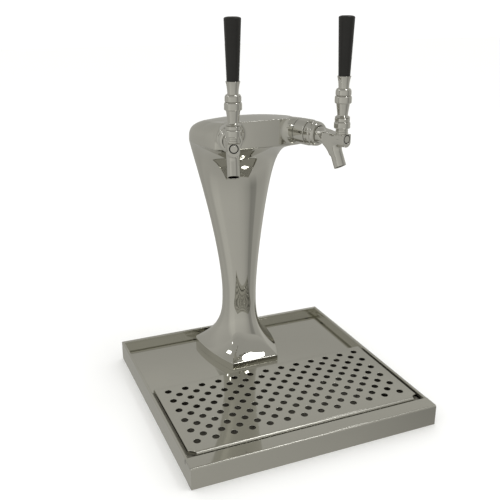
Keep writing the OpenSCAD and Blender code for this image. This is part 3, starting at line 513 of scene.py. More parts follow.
def ring_points(front, back, half_w, widest, corner, turn_share, bevel):
    """A closed outline of the column, from the middle of its front round by the right.

    Its front corner is two curves, which meet at the share bevel between their corner points: the first
    point lies on the front at the share corner of half_w, the second on the side at the share turn_share.
    """
    middle, edge = np.array([0, front]), np.array([corner * half_w, front])
    flank = np.array([half_w, mix(widest, front, turn_share)])
    joint = mix(edge, flank, bevel)
    half = [bend(middle, edge, joint, k / FRONT_STEPS) for k in range(FRONT_STEPS)]
    half += [bend(joint, flank, np.array([half_w, widest]), k / SIDE_STEPS) for k in range(SIDE_STEPS)]
    quarter = [pi / 2 * k / BACK_STEPS for k in range(BACK_STEPS + 1)]
    half += [np.array([half_w * cos(a), mix(widest, back, sin(a))]) for a in quarter]
    half = np.array(half)
    return np.concatenate([half, half[-2:0:-1] * [-1, 1]])


def soft_ring(rings, index, reach, steps=5):
    """Replaces one ring by a short curve, so that the edge along it is rounded."""
    here = rings[index]
    ends = []
    for other in (rings[index - 1], rings[index + 1]):
        step = other - here
        length = np.maximum(np.linalg.norm(step, axis=1, keepdims=True), 1e-9)
        ends.append(here + step * np.minimum(reach / length, 0.5))
    curve = [bend(ends[0], here, ends[1], k / steps) for k in range(steps + 1)]
    return rings[:index] + curve + rings[index + 1 :]


def column_rings(tray, column):
    """The column's outer skin as rings of points about its axis, from the foot to the crown's middle."""
    c = column
    deck_z = tray.height - tray.deck_drop
    foot_z, crown_z = deck_z + c.seal, deck_z + c.height
    head_z, neck_z = crown_z - c.head_h, foot_z + c.foot_edge + c.flare
    half_foot, half_neck, half_head, half_crown = c.foot_w / 2, c.neck / 2, c.head_w / 2, c.crown_w / 2
    # Each outline's front, back, half width and widest place, then its corner, turn and bevel shares
    corner = c.foot_front / c.foot_w
    foot = np.array([-c.foot_reach, c.foot_back, half_foot, 0.6 * c.foot_back, corner, 0.48, 0])
    neck = np.array([-half_neck, half_neck, half_neck, 0, ROUND_SHARE, ROUND_SHARE, 0.5])
    head = np.array([-c.head_reach, c.head_back, half_head, -0.16 * c.head_reach, 0.84, 0.42, 0.25])
    crown = np.array([-c.head_reach, c.crown_back, half_crown, -0.32 * c.head_reach, 0.94, 0.6, 0.2])

    def raised(outline, heights):
        points = ring_points(*outline)
        return np.column_stack([points, np.broadcast_to(heights, len(points))])

    def hood(s):
        growth = mix(s**WIDTH_POWER, s**LIP_POWER, LIP_SHARE)
        lean = LEAN_SHARE * c.head_back * ease(s)
        parts = [s**FRONT_POWER, ease(s), growth, s**LIP_POWER, s**CORNER_POWER, s, s**CORNER_POWER]
        start = neck.copy()
        start[3] = lean
        outline = start + (head - start) * parts
        points = ring_points(*outline)
        rear = np.clip((points[:, 1] - outline[3]) / (outline[1] - outline[3]), 0, None)
        return np.column_stack([points, mix(neck_z, head_z, s) - SAG_SHARE * half_head * s**3 * rear**2])

    def crown_ring(part):
        points = ring_points(*crown)
        centre = (c.crown_back - c.head_reach) / 2
        points = np.column_stack([points[:, 0] * part, mix(centre, points[:, 1], part)])
        back = np.clip((points[:, 1] + c.head_reach) / (c.crown_back + c.head_reach), 0, None)
        fall = np.clip((back - LEVEL_SHARE) / (1 - LEVEL_SHARE), 0, None)
        slope = SIDE_SHARE * (points[:, 0] / half_crown) ** 2 * np.minimum(1, back / LEVEL_SHARE)
        return np.column_stack([points, crown_z - c.crown_fall * (fall**2 + slope)])

    low, top = hood(1.0), crown_ring(1.0)

    def cheek(s):
        out = 1 - s**ROUND_POWER
        return np.column_stack([mix(top[:, :2], low[:, :2], out), mix(low[:, 2], top[:, 2], s)])

    # The foot's edge hides the seal beneath it
    apron = foot * ([APRON_SHARE] * 4 + [1, 1, 1])
    rings = [raised(apron, deck_z + 0.1 * MM), raised(apron, foot_z + c.foot_edge)]
    for k in range(1, FLARE_RINGS + 1):
        s = (k / FLARE_RINGS) ** 1.25
        outline = mix(neck, foot, (1 - s) ** FLARE_POWER)
        rings.append(raised(outline, foot_z + c.foot_edge + c.flare * s))
    # The hood's rings draw closer together towards its lip
    last = 1 - 0.006
    rings += [hood(last * (1 - (1 - k / HOOD_RINGS) ** 1.8)) for k in range(1, HOOD_RINGS + 1)]
    lip = len(rings)
    rings += [low] + [cheek(mix(0.09, 1, k / CHEEK_RINGS)) for k in range(CHEEK_RINGS)]
    edge = len(rings)
    rings += [top] + [crown_ring(part) for part in CROWN_PARTS]
    rings = soft_ring(rings, edge, 0.4 * MM)
    rings = soft_ring(rings, lip, 2.6 * MM)
    return soft_ring(rings, 1, 0.9 * MM)


def swept_boss(rings, axis_y, side, tap):
    """Draws the skin out round a tap boss, so that hood and boss meet in a hollow curve."""
    inverse = np.array(tap_matrix(side).inverted())
    radius = tap.drop
    for ring in rings:
        points = ring + [0, axis_y, 0]
        local = points @ inverse[:3, :3].T + inverse[:3, 3]
        out = np.hypot(local[:, 1], local[:, 2])
        near = np.clip((radius + tap.flare - out) / tap.flare, 0, 1) * (local[:, 0] > -3 * tap.boss)
        rise = tap.flare * (1 - np.sqrt(1 - near**2))
        room = np.maximum(-0.6 * MM - local[:, 0], 0)
        ring += np.minimum(rise, room)[:, None] * np.array(tap_matrix(side))[:3, 0]


def column_part(tray, column, tap):
    """The column's shell with its tap bosses."""
    axis_y = tray.depth / 2 - column.setback
    rings = column_rings(tray, column)
    for _, side in SIDES:
        swept_boss(rings, axis_y, side, tap)
    stack = np.array(rings) + [0, axis_y, 0]
    n = stack.shape[1]
    around = np.roll(stack, -1, 1) - np.roll(stack, 1, 1)
    normal = np.cross(around, np.gradient(stack, axis=0))
    normal /= np.maximum(np.linalg.norm(normal, axis=2, keepdims=True), 1e-12)
    # The inside follows every sixth ring, and leaves out the close ones at foot and crown
    kept = [0] + list(range(8, len(stack) - 8, 6)) + [len(stack) - 2]
    inner = (stack - column.shell * normal)[kept]
    inner[0] = mix(np.array([0, axis_y, stack[0, 0, 2]]), stack[0], 1 - column.lip / (column.foot_w / 2))
    tip = [stack[-1].mean(0), inner[-1].mean(0)]
    verts = np.concatenate([stack.reshape(-1, 3), inner.reshape(-1, 3), tip])
    first = len(stack) * n
    faces = grid_faces(len(stack), n)
    faces += [face[::-1] for face in grid_faces(len(inner), n, first)]
    for ring, pole in ((first - n, len(verts) - 2), (len(verts) - 2 - n, len(verts) - 1)):
        faces += [[ring + j, ring + (j + 1) % n, pole] for j in range(n)]
    faces += [[j, first + j, first + (j + 1) % n, (j + 1) % n] for j in range(n)]
    wall = tap.thread / 2 + FIT
    profile = softened([(-tap.boss, wall), (-tap.boss, tap.drop), (0, tap.drop, 0.5 * MM), (0, wall)])
    bosses = [moved(turned(profile), along_tap(side)) for _, side in SIDES]
    return joined((verts, faces), *bosses)


# Faucet bodies

# Stub under the bonnet, cup round its skirt, and how far the block runs back into the barrel
STUB_R, CUP_R, BLOCK_TAIL = 7.65 * MM, 9.15 * MM, 6 * MM
# Step over which a field's slope is measured
SLOPE_STEP = 0.02 * MM


def smooth_min(a, b, k):
    """The smaller of two distances, blended over k where they are alike."""
    near = np.maximum(k - np.abs(a - b), 0) / k
    return np.minimum(a, b) - near * near * k / 4


def smooth_max(a, b, k):
    return -smooth_min(-a, -b, k)


def box_distance(p, q, half_p, half_q):
    """Distance in a plane from the edge of a rectangle."""
    dp, dq = np.abs(p) - half_p, np.abs(q) - half_q
    return np.hypot(np.maximum(dp, 0), np.maximum(dq, 0)) + np.minimum(np.maximum(dp, dq), 0)


def faucet_field(points, tap, lever):
    """Distance from the faucet body's surface, in the tap's own frame; negative inside."""
    x, y, z = points.T
    t = tap
    block_x = t.lever_reach - t.spout_drop * tan(t.tilt)
    front = t.lever_reach + t.block_reach
    root_x = t.collar + 10 * MM
    nut_end = t.collar + GAP + t.nut
    # Barrel, narrowing from the nut to the block; the factor 0.97 makes up for its taper
    out = np.hypot(y, z)
    taper = np.clip((x - nut_end - GAP) / (0.5 * (block_x - nut_end)), 0, 1)
    barrel = (out - mix(t.root_d, t.barrel_d, ease(taper)) / 2) * 0.97
    barrel = smooth_max(barrel, x - block_x, 2 * MM)
    # Block, square above and half round below belly_z
    belly_z, half = -2.7 * MM, t.block_w / 2
    middle_z = (t.block_top + belly_z) / 2
    square = box_distance(y, z - middle_z, half, t.block_top - middle_z)
    section = np.minimum(square, np.hypot(y, z - belly_z) - half)
    ends = np.abs(x - (block_x + front - BLOCK_TAIL) / 2) - (front - block_x + BLOCK_TAIL) / 2
    block = smooth_max(section, ends, 0.9 * MM)
    # Spout, cut off askew at its outlet, with a web behind it
    along = (x - block_x) * sin(t.tilt) - z * cos(t.tilt)
    ahead = (x - block_x) * cos(t.tilt) + z * sin(t.tilt)
    spout_l = t.spout_drop / cos(t.tilt)
    past = (along - spout_l) * cos(t.cut) + ahead * sin(t.cut)
    spout = smooth_max(np.hypot(ahead, y) - t.spout_d / 2, np.maximum(-along, past), 0.4 * MM)
    web = np.maximum(np.abs(ahead + 3 * MM) - 4.5 * MM, np.abs(along - 10 * MM) - 12 * MM)
    web = smooth_max(web, np.abs(y) - 0.94 * half, 4 * MM)
    # The throat behind the spout is a wider hollow than the one ahead of it
    blend = mix(13 * MM, 7 * MM, ease(np.clip(ahead / (10 * MM) + 0.5, 0, 1)))
    body = smooth_min(barrel, block, 5 * MM)
    lower = smooth_min(spout, web, 4 * MM)
    body = smooth_min(body, lower, blend)
    # The barrel's sides and crest run into the block's flats
    flat = mix(t.root_d / 2, half, ease(np.clip((x - nut_end - MM) / (14 * MM), 0, 1)))
    body = smooth_max(body, np.abs(y) - flat, 1.6 * MM)
    crest = mix(t.root_d / 2, t.block_top, ease(np.clip((x - nut_end - MM) / (20 * MM), 0, 1)))
    body = smooth_max(body, z - crest, 1.5 * MM)
    # Stub and cup that carry the bonnet
    across = np.hypot(x - t.lever_reach, y)
    stub = smooth_max(across - STUB_R, z - 13.4 * MM, 0.6 * MM)
    stub = np.maximum(stub, -z)
    body = smooth_min(body, stub, 1.2 * MM)
    cup = np.maximum(across - CUP_R, np.abs(z - 15.05 * MM) - 1.85 * MM)
    body = np.minimum(body, cup)
    body = np.maximum(body, root_x + MM - x)
    # Plug's seat and groove, the bores, the ball's well and the slot that the lever's tip swings in
    seat = np.maximum(out - t.plug_d / 2 - FIT, np.abs(x - front) - 4.5 * MM)
    groove = np.maximum(out - t.plug_d / 2 - 1.2 * MM, np.abs(x - front) - MM)
    bore = np.maximum(out - t.bore_d / 2, x - front + 3.5 * MM)
    port = np.maximum(np.hypot(ahead, y) - 4 * MM, np.abs(along - 6 * MM) - 6 * MM)
    outlet = np.maximum(np.hypot(ahead, y) - t.spout_bore / 2, 10 * MM - along)
    well = np.hypot(across, z - lever.pivot) - lever.ball / 2 - GAP
    slot_x = np.abs(x - t.lever_reach + 3.5 * MM) - 5.7 * MM
    slot = np.maximum(np.maximum(slot_x, np.abs(y) - 2.2 * MM), np.abs(z - 8.6 * MM) - 8.6 * MM)
    for hollow in (seat, groove, bore, port, outlet, well, slot):
        body = smooth_max(body, -hollow, 0.4 * MM)
    return body


def field_gradient(field, points, step):
    """The slope of a field at each point, measured over a small step."""
    slopes = []
    for axis in np.eye(3) * step:
        slopes.append((field(points + axis) - field(points - axis)) / (2 * step))
    return np.array(slopes).T


def field_mesh(field, low, high, step):
    """Quads on the surface where a field is zero, one vertex in each cell of a grid that it crosses."""
    axes = [np.arange(a, b, step) for a, b in zip(low, high)]
    shape = [len(a) for a in axes]
    grid = np.stack(np.meshgrid(*axes, indexing="ij"), -1)
    value = field(grid.reshape(-1, 3)).reshape(shape)
    cells = [n - 1 for n in shape]
    total, crossings = np.zeros(cells + [3]), np.zeros(cells)
    edges = []
    for axis in range(3):
        first = np.moveaxis(value, axis, 0)[:-1]
        second = np.moveaxis(value, axis, 0)[1:]
        crossed = np.moveaxis((first < 0) != (second < 0), 0, axis)
        at = np.argwhere(crossed)
        ahead = at + np.eye(3, dtype=int)[axis]
        v0, v1 = value[tuple(at.T)], value[tuple(ahead.T)]
        place = grid[tuple(at.T)] + (v0 / (v0 - v1))[:, None] * step * np.eye(3)[axis]
        others = [k for k in range(3) if k != axis]
        inner = np.all([(at[:, k] > 0) & (at[:, k] < shape[k] - 1) for k in others], axis=0)
        corners = []
        for du, dv in ((0, 0), (1, 0), (1, 1), (0, 1)):
            cell = at.copy()
            cell[:, others[0]] -= du
            cell[:, others[1]] -= dv
            fits = np.all((cell >= 0) & (cell < cells), axis=1)
            np.add.at(total, tuple(cell[fits].T), place[fits])
            np.add.at(crossings, tuple(cell[fits].T), 1)
            corners.append(cell)
        edges.append(([c[inner] for c in corners], (v0 < 0)[inner] ^ (axis == 1)))
    used = crossings > 0
    number = np.full(cells, -1)
    number[used] = np.arange(used.sum())
    verts = total[used] / crossings[used][:, None]
    faces = []
    for corners, flip in edges:
        quads = np.stack([number[tuple(c.T)] for c in corners], 1)
        faces += [list(q[::-1] if f else q) for q, f in zip(quads, flip)]
    # Each vertex is then drawn onto the surface in a few steps down the field's slope
    for _ in range(4):
        slope = field_gradient(field, verts, SLOPE_STEP)
        length = np.maximum((slope**2).sum(1), 0.05)
        verts -= (field(verts) / length)[:, None] * slope
    return verts, faces


# Studio

# The camera stands and looks as the photo's did
CAMERA_PLACE, CAMERA_WAY = (-0.38093, -0.83866, 0.55797), (0.36647, 0.86569, -0.34102)
# How far the floor reaches to each side, and the height that the lamps shine at
FLOOR_REACH, TOWER_MIDDLE = 8.0, 0.25
# Each softbox: compass bearing from straight ahead, height above the horizon, width, depth and watts
SOFTBOXES = (
    (54.5, 64, 0.42, 0.36, 4.4),
    (-98, 37, 0.18, 0.18, 0.44),
    (-123, 38, 0.18, 0.18, 0.44),
    (138, 40, 0.20, 0.14, 0.25),
)
# Brightness of the room by height, from straight down to straight up
ROOM_HEIGHTS = (
    (0.0, 0.38), (0.25, 0.43), (0.40, 0.47), (0.50, 0.51), (0.58, 0.49), (0.66, 0.47), (0.75, 0.39),
    (1.0, 0.37)
)
# Share of that brightness by bearing, all round from straight behind, where the room's screens stand
ROOM_BEARINGS = (
    (0.0, 0.86), (0.11, 0.88), (0.15, 0.97), (0.23, 0.93), (0.27, 1.16), (0.33, 1.18), (0.36, 1.08),
    (0.50, 1.02), (0.545, 0.95), (0.59, 0.76), (0.61, 0.56), (0.65, 0.60), (0.665, 0.84), (0.75, 0.88),
    (0.83, 1.08), (0.88, 0.84)
)
# Height range where the screens stand, and the warm cast of the room's grey
SCREEN_HEIGHTS = ((0.24, 0.0), (0.34, 1.0), (0.655, 1.0), (0.67, 0.0))
WARMTH = (1.0, 0.985, 0.92, 1)


def fill_ramp(ramp, stops):
    """Sets a colour ramp's stops, each a place and a brightness."""
    while len(ramp.elements) < len(stops):
        ramp.elements.new(1.0)
    for element, (place, tone) in zip(ramp.elements, stops):
        element.position = place
        element.color = (tone, tone, tone, 1)


def light_room(scene):
    """A white room to the eye; its image in bright metal is a grey studio with darker and lighter screens."""
    world = bpy.data.worlds.new("studio")
    world.use_nodes = True
    scene.world = world
    tree = world.node_tree
    tree.nodes.clear()
    way = add_node(tree, "ShaderNodeTexCoord").outputs["Generated"]
    parts = add_node(tree, "ShaderNodeSeparateXYZ", {"Vector": way})
    ahead = add_node(tree, "ShaderNodeMath", {0: parts.outputs["Y"], 1: -1.0}, operation="MULTIPLY")
    sides = {0: parts.outputs["X"], 1: ahead.outputs["Value"]}
    bearing = add_node(tree, "ShaderNodeMath", sides, operation="ARCTAN2").outputs["Value"]
    turn_range = {"Value": bearing, "From Min": -pi, "From Max": pi}
    round_share = add_node(tree, "ShaderNodeMapRange", turn_range).outputs["Result"]
    rise = add_node(tree, "ShaderNodeMath", {0: parts.outputs["Z"]}, operation="ARCSINE").outputs["Value"]
    rise_range = {"Value": rise, "From Min": -pi / 2, "From Max": pi / 2}
    rise_share = add_node(tree, "ShaderNodeMapRange", rise_range).outputs["Result"]
    heights = add_node(tree, "ShaderNodeValToRGB", {"Fac": rise_share})
    fill_ramp(heights.color_ramp, ROOM_HEIGHTS)
    bearings = add_node(tree, "ShaderNodeValToRGB", {"Fac": round_share})
    fill_ramp(bearings.color_ramp, [(place, tone / 2) for place, tone in ROOM_BEARINGS])
    near = add_node(tree, "ShaderNodeValToRGB", {"Fac": rise_share})
    fill_ramp(near.color_ramp, SCREEN_HEIGHTS)
    even = (0.5, 0.5, 0.5, 1)
    shades = {"Factor": near.outputs["Color"], "A": even, "B": bearings.outputs["Color"]}
    screens = add_node(tree, "ShaderNodeMix", shades, data_type="RGBA")
    room = heights.outputs["Color"]
    for shade in (screens.outputs["Result"], WARMTH):
        layers = {"Factor": 1.0, "A": room, "B": shade}
        product = add_node(tree, "ShaderNodeMix", layers, data_type="RGBA", blend_type="MULTIPLY")
        room = product.outputs["Result"]
    grey = add_node(tree, "ShaderNodeBackground", {"Color": room, "Strength": 2.0})
    white = add_node(tree, "ShaderNodeBackground", {"Color": (1, 1, 1, 1), "Strength": 1.1})
    mirrored = add_node(tree, "ShaderNodeLightPath").outputs["Is Glossy Ray"]
    worlds = {0: mirrored, 1: white.outputs["Background"], 2: grey.outputs["Background"]}
    both = add_node(tree, "ShaderNodeMixShader", worlds)
    add_node(tree, "ShaderNodeOutputWorld", {"Surface": both.outputs["Shader"]})


def add_softbox(scene, azimuth, height, width, depth, power, distance=2.2):
    """A rectangle of light that shines at the tower's middle from a bearing and a height."""
    light = bpy.data.lights.new("softbox", "AREA")
    light.shape, light.size, light.size_y, light.energy = "RECTANGLE", width, depth, power
    box = bpy.data.objects.new("softbox", light)
    way = Vector((sin(azimuth) * cos(height), -cos(azimuth) * cos(height), sin(height)))
    box.location = Vector((0, 0, TOWER_MIDDLE)) + way * distance
    box.rotation_euler = way.to_track_quat("Z", "Y").to_euler()
    box.visible_camera = False
    scene.collection.objects.link(box)


# Pieces


class BEERTOWER_OT_tray(bpy.types.Operator):
    """Build the tray's frame: apron, return flange, hemmed rims and front ledge"""

    bl_idname = "beer_tower.tray"
    bl_label = "Tray"

    def execute(self, context):
        t = context.scene.beer_tower_tray
        hw, hd, s = t.width / 2, t.depth / 2, t.sheet
        burr = 0.3 * MM
        foot = [(t.return_w, s, burr), (t.return_w, 0, burr)]
        # One section runs along the left side, the back and the right side, mitred at the rear corners
        rim = [(0, 0, 0.8 * MM), (0, t.height, 0.9 * MM), (t.hem_w, t.height, 1.6 * MM)]
        rim += [(t.hem_w, t.height - t.hem_h, 0.6 * MM), (s, t.height - t.hem_h), (s, s)]

        def station(side, y, cap):
            """Where the section stands along a side; no point of it rises above cap."""
            return lambda u, v: (side * (hw - u), y, min(v, cap))

        # Under the ledge the section stays a little lower, so that the two sheets don't coincide
        under, full, ledge_end = t.height - 0.4 * MM, t.height + MM, t.ledge - hd
        stops = [(s - hd, under), (ledge_end - 1.2 * MM, under), (ledge_end - 1.1 * MM, full)]
        stations = [station(-1, y, cap) for y, cap in stops]
        stations += [lambda u, v: (u - hw, hd - u, v), lambda u, v: (hw - u, hd - u, v)]
        stations += [station(1, y, cap) for y, cap in stops[::-1]]
        lip_z = t.height - t.ledge_lip
        front = foot[1:] + [(0, 0, 0.8 * MM), (0, t.height, 2.8 * MM), (t.ledge, t.height, 1.5 * MM)]
        front += [(t.ledge, lip_z, burr), (t.ledge - s, lip_z, burr), (t.ledge - s, t.height - s)]
        front += [(s, t.height - s), (s, s)] + foot[:1]
        bar = extruded(softened(front, steps=6), [lambda u, v, x=x: (x, u - hd, v) for x in (-hw, hw)])
        made = make_object("tray_frame_folded", joined(extruded(softened(rim + foot), stations), bar))
        settle(made, "tower", "bright_stainless_sheet", ["tray_frame"])
        return {"FINISHED"}


class BEERTOWER_OT_grille(bpy.types.Operator):
    """Build the perforated grille with its rolled edges and finger notches"""

    bl_idname = "beer_tower.grille"
    bl_label = "Grille"

    def execute(self, context):
        t = context.scene.beer_tower_tray
        half_w = t.width / 2 - t.hem_w - t.side_gap
        front = t.ledge - t.depth / 2 + t.front_gap
        back = t.depth / 2 - t.deck - t.back_gap
        top, low, s = t.height, t.height - t.grille_edge, t.sheet
        roll, side_roll, lip, corner = 4 * MM, 1.5 * MM, 0.3 * MM, 1 * MM

        def outline(ahead, aside):
            """The grille's outline, drawn in from the front by ahead and from all other edges by aside."""
            r = t.notch + aside
            start = atan2(sqrt(r * r - aside * aside), aside)
            end = atan2(ahead, sqrt(r * r - ahead * ahead))
            left = [(-half_w + r * cos(a), front + r * sin(a)) for a in np.linspace(start, end, 11)]
            right = [(-x, y) for x, y in left[::-1]]
            ends = [(w * (half_w - aside), back - aside, corner) for w in (-1, 1)]
            return softened([ends[0]] + left + right + [ends[1]], steps=10)

        turns = np.linspace(0, pi / 2, 9)
        path = [(roll * (1 - sin(a)), side_roll * (1 - sin(a)), top - roll * (1 - cos(a))) for a in turns]
        path += [(0, 0, low + lip), (lip, lip, low), (s - lip, s - lip, low), (s, s, low + lip)]
        path += [(s, s, top - s), (roll, side_roll + lip, top - s)]
        loops = [[(x, y, z) for x, y in outline(ahead, aside)] for ahead, aside, z in path]
        verts = [v for loop in loops for v in loop]
        faces = grid_faces(len(loops), len(loops[0]))
        centres = []
        first = back - t.margin
        for row in range(2 * t.rows - 1):
            count = t.columns - row % 2
            y = first - row * t.pitch / 2
            centres += [((i - (count - 1) / 2) * t.pitch, y) for i in range(count)]
        steps, soft = 32, 0.35 * MM
        rim = [(cos(2 * pi * k / steps), sin(2 * pi * k / steps)) for k in range(steps)]
        depth = [(soft * (1 - sin(a)), top - soft * (1 - cos(a))) for a in np.linspace(0, pi / 2, 4)]
        depth += [(0, top - s)]
        holes = []
        for x, y in centres:
            radii = [(t.hole / 2 + d, z) for d, z in depth]
            rings = [[(x + r * c, y + r * w, z) for c, w in rim] for r, z in radii]
            holes.append(rings)
            faces += [face[::-1] for face in grid_faces(len(rings), steps, len(verts))]
            verts += [v for ring in rings for v in ring]
        # The sheet's upper and lower faces are triangles between the outline and the holes
        for level, flip in ((0, False), (-1, True)):
            border = [Vector(v[:2]) for v in loops[level]]
            circles = [[Vector(v[:2]) for v in rings[level]] for rings in holes]
            links, base = [], 0
            for loop in [border] + circles:
                links += [(base + k, base + (k + 1) % len(loop)) for k in range(len(loop))]
                base += len(loop)
            flat = border + [v for circle in circles for v in circle]
            points, _, triangles, *_ = delaunay_2d_cdt(flat, links, [], 1, 1e-7)
            # A triangle whose middle lies inside a rim of straight steps belongs to the hole
            clear = (t.hole / 2 + depth[level][0]) * 0.993
            base, height = len(verts), loops[level][0][2]
            verts += [(p[0], p[1], height) for p in points]
            for tri in triangles:
                middle = np.mean([points[k] for k in tri], axis=0)
                if np.min(np.hypot(*(np.array(centres) - middle).T)) > clear:
                    faces.append([base + k for k in (tri[::-1] if flip else tri)])
        made = make_object("drip_grille_punched", (verts, faces), weld=0.01 * MM)
        settle(made, "grille", "bright_stainless_sheet", ["drip_grille"])
        return {"FINISHED"}


class BEERTOWER_OT_column(bpy.types.Operator):
    """Build the flared column with its hood and tap bosses"""

    bl_idname = "beer_tower.column"
    bl_label = "Column"

    def execute(self, context):
        scene = context.scene
        part = column_part(scene.beer_tower_tray, scene.beer_tower_column, scene.beer_tower_tap)
        made = make_object("tower_column_spun", part, crease=50)
        settle(made, "tower", "mirror_polished_stainless", ["tower_column"], even=False)
        return {"FINISHED"}


class BEERTOWER_OT_fixings(bpy.types.Operator):
    """Build the seals, collars and coupling nuts"""

    bl_idname = "beer_tower.fixings"
    bl_label = "Tap fixings"

    def execute(self, context):
        t = context.scene.beer_tower_tap
        wall = t.thread / 2 + FIT
        nut_x = t.collar + GAP
        nut_end = nut_x + t.nut
        flat_x = nut_x + 0.56 * t.nut
        neck_r, front_r, out = t.root_d / 2 + GAP, 12.3 * MM, t.nut_d / 2
        step_x = t.collar + 10.3 * MM
        shoulder = [
            (mix(flat_x + 1.7 * MM, nut_end, sin(a)), mix(front_r, out - 0.4 * MM, cos(a)))
            for a in np.linspace(0, pi / 2, 14)
        ]
        nut = [(nut_x, wall), (nut_x, out, 1 * MM), (flat_x - 0.5 * MM, out, 0.7 * MM)]
        nut += [(flat_x + 0.6 * MM, out - 1.7 * MM, 0.3 * MM)] + shoulder
        nut = softened(nut + [(nut_end, neck_r, 0.2 * MM), (step_x, neck_r), (step_x, wall)])
        collar_r, seal_l = t.collar_d / 2, 1 * MM
        seal_r = collar_r - 0.5 * MM
        seal = softened([(0, wall), (0, seal_r, 0.3 * MM), (seal_l, seal_r, 0.3 * MM), (seal_l, wall)])
        collar = softened(
            [(seal_l, wall), (seal_l, collar_r, 1.2 * MM), (t.collar, collar_r, 1 * MM), (t.collar, wall)]
        )
        depth, radius = 4 * MM, t.spanner / 2
        drill = turned([(0, 0), (0, radius), (depth, radius), (depth, 0)], False, 24)
        lift = Matrix.Translation((0, 0, out - depth / 2))
        shift = Matrix.Translation((mix(nut_x, flat_x, 0.5), 0, 0))
        spins = [Matrix.Rotation(2 * pi * (k + 0.5) / SPANNER_HOLES, 4, "X") for k in range(SPANNER_HOLES)]
        for word, side in SIDES:
            place = along_tap(side)
            made = make_object("shank_seal_ring_" + word, moved(turned(seal), place))
            settle(made, "tower", "nitrile_rubber", ["shank_seal_" + word])
            spun("shank_collar_turned_" + word, collar, place, "shank_collar_" + word)
            drills = joined(*[moved(drill, tap_matrix(side) @ shift @ spin @ lift) for spin in spins])
            spun("coupling_nut_turned_" + word, nut, place, "coupling_nut_" + word, cut=drills)
        return {"FINISHED"}


class BEERTOWER_OT_faucets(bpy.types.Operator):
    """Build the faucet bodies, each one casting from barrel to spout, and their plugs"""

    bl_idname = "beer_tower.faucets"
    bl_label = "Faucets"

    def execute(self, context):
        t = context.scene.beer_tower_tap
        lever = context.scene.beer_tower_lever

        def field(points):
            return faucet_field(points, t, lever)

        half_w, room = 12.5 * MM, 2 * MM
        low = (t.collar + 9 * MM, -half_w, -t.spout_drop - 5 * MM)
        high = (t.lever_reach + t.block_reach + room, half_w, 18.5 * MM)
        verts, faces = field_mesh(field, low, high, (0.55) * MM)
        slope = field_gradient(field, verts, SLOPE_STEP)
        slope /= np.maximum(np.linalg.norm(slope, axis=1, keepdims=True), 1e-9)
        front, plug_r = t.lever_reach + t.block_reach, t.plug_d / 2
        back = front - 3.8 * MM
        plug = softened([(back, 0), (back, plug_r), (front, plug_r, 0.4 * MM), (front, 0)], closed=False)
        near_r, far_r = plug_r + 0.05 * MM, plug_r + 1.1 * MM
        sunk, proud = front - 0.95 * MM, front - 0.35 * MM
        gasket = [(sunk, near_r), (proud, near_r, 0.2 * MM), (proud, far_r, 0.2 * MM), (sunk, far_r)]
        gasket = softened(gasket)
        # The rings under the bonnet are a thin sleeve, as the lever's tip swings inside them
        sleeve_r, groove_r = 7.05 * MM, STUB_R - 0.25 * MM
        ring_r, rings_h = STUB_R + 0.3 * MM, 6.9 * MM
        rings = softened(
            [
                (0, sleeve_r),
                (0, STUB_R + 0.45 * MM, 0.3 * MM),
                (2.1 * MM, STUB_R + 0.45 * MM, 0.4 * MM),
                (2.5 * MM, groove_r, 0.1 * MM),
                (2.9 * MM, ring_r, 0.3 * MM),
                (4.9 * MM, ring_r, 0.3 * MM),
                (5.3 * MM, groove_r, 0.1 * MM),
                (rings_h, STUB_R + 0.1 * MM, 0.2 * MM),
                (rings_h, sleeve_r),
            ]
        )
        # This near-black sheet covers the spout's bore from its port down to just inside the outlet, as
        # painted shade inside the spout
        outer_r, inner_r, port_r = t.spout_bore / 2 - 0.05 * MM, t.spout_bore / 2 - 0.2 * MM, 4.2 * MM
        top, end = 10.3 * MM, t.spout_drop / cos(t.tilt) - 0.8 * MM
        shade_lining = [(top, port_r), (top, outer_r), (end, outer_r), (end, inner_r)]
        shade_lining += [(top + GAP, inner_r), (top + GAP, port_r)]
        spout_x = t.lever_reach - t.spout_drop * tan(t.tilt)
        for word, side in SIDES:
            place = tap_matrix(side)
            made = make_object("faucet_body_cast_" + word, moved((verts, faces), place), crease=180)
            turned_slope = slope @ np.array(place)[:3, :3].T
            made.data.normals_split_custom_set_from_vertices([tuple(v) for v in turned_slope])
            settle(made, "tower", "chromed_brass", ["faucet_body_" + word], even=False)
            spun("front_plug_turned_" + word, plug, along_tap(side), "front_plug_" + word, closed=False)
            made = make_object("front_plug_gasket_" + word, moved(turned(gasket), along_tap(side)))
            settle(made, "tower", "nitrile_rubber")
            stand = place @ Matrix.Translation((t.lever_reach, 0, t.block_top))
            spun("bonnet_seat_rings_" + word, rings, stand)
            spout = place @ Matrix.Translation((spout_x, 0, 0)) @ Matrix.Rotation(pi - t.tilt, 4, "Y")
            made = make_object("spout_bore_lining_" + word, moved(turned(shade_lining), spout))
            settle(made, "tower", "as_cast_bore")
        return {"FINISHED"}


# Levers

STEM_R, STUD_R = 3.2 * MM, 4.75 * MM
# Height and width of the round shoulder on bonnet and lever beads
BEAD_ROUND = (2.6 * MM, 1.6 * MM)


def beaded(radius, low, high, rise, width, under=1.4 * MM):
    """A bead's edge from its underside to its top; its shoulder is rise high and width wide."""
    turns = np.linspace(0, pi / 2, 10)
    edge = [(low + under * (1 - cos(a)), radius - under * (1 - sin(a))) for a in turns]
    return edge + [(high - rise * (1 - sin(a)), radius - width * (1 - cos(a))) for a in turns]


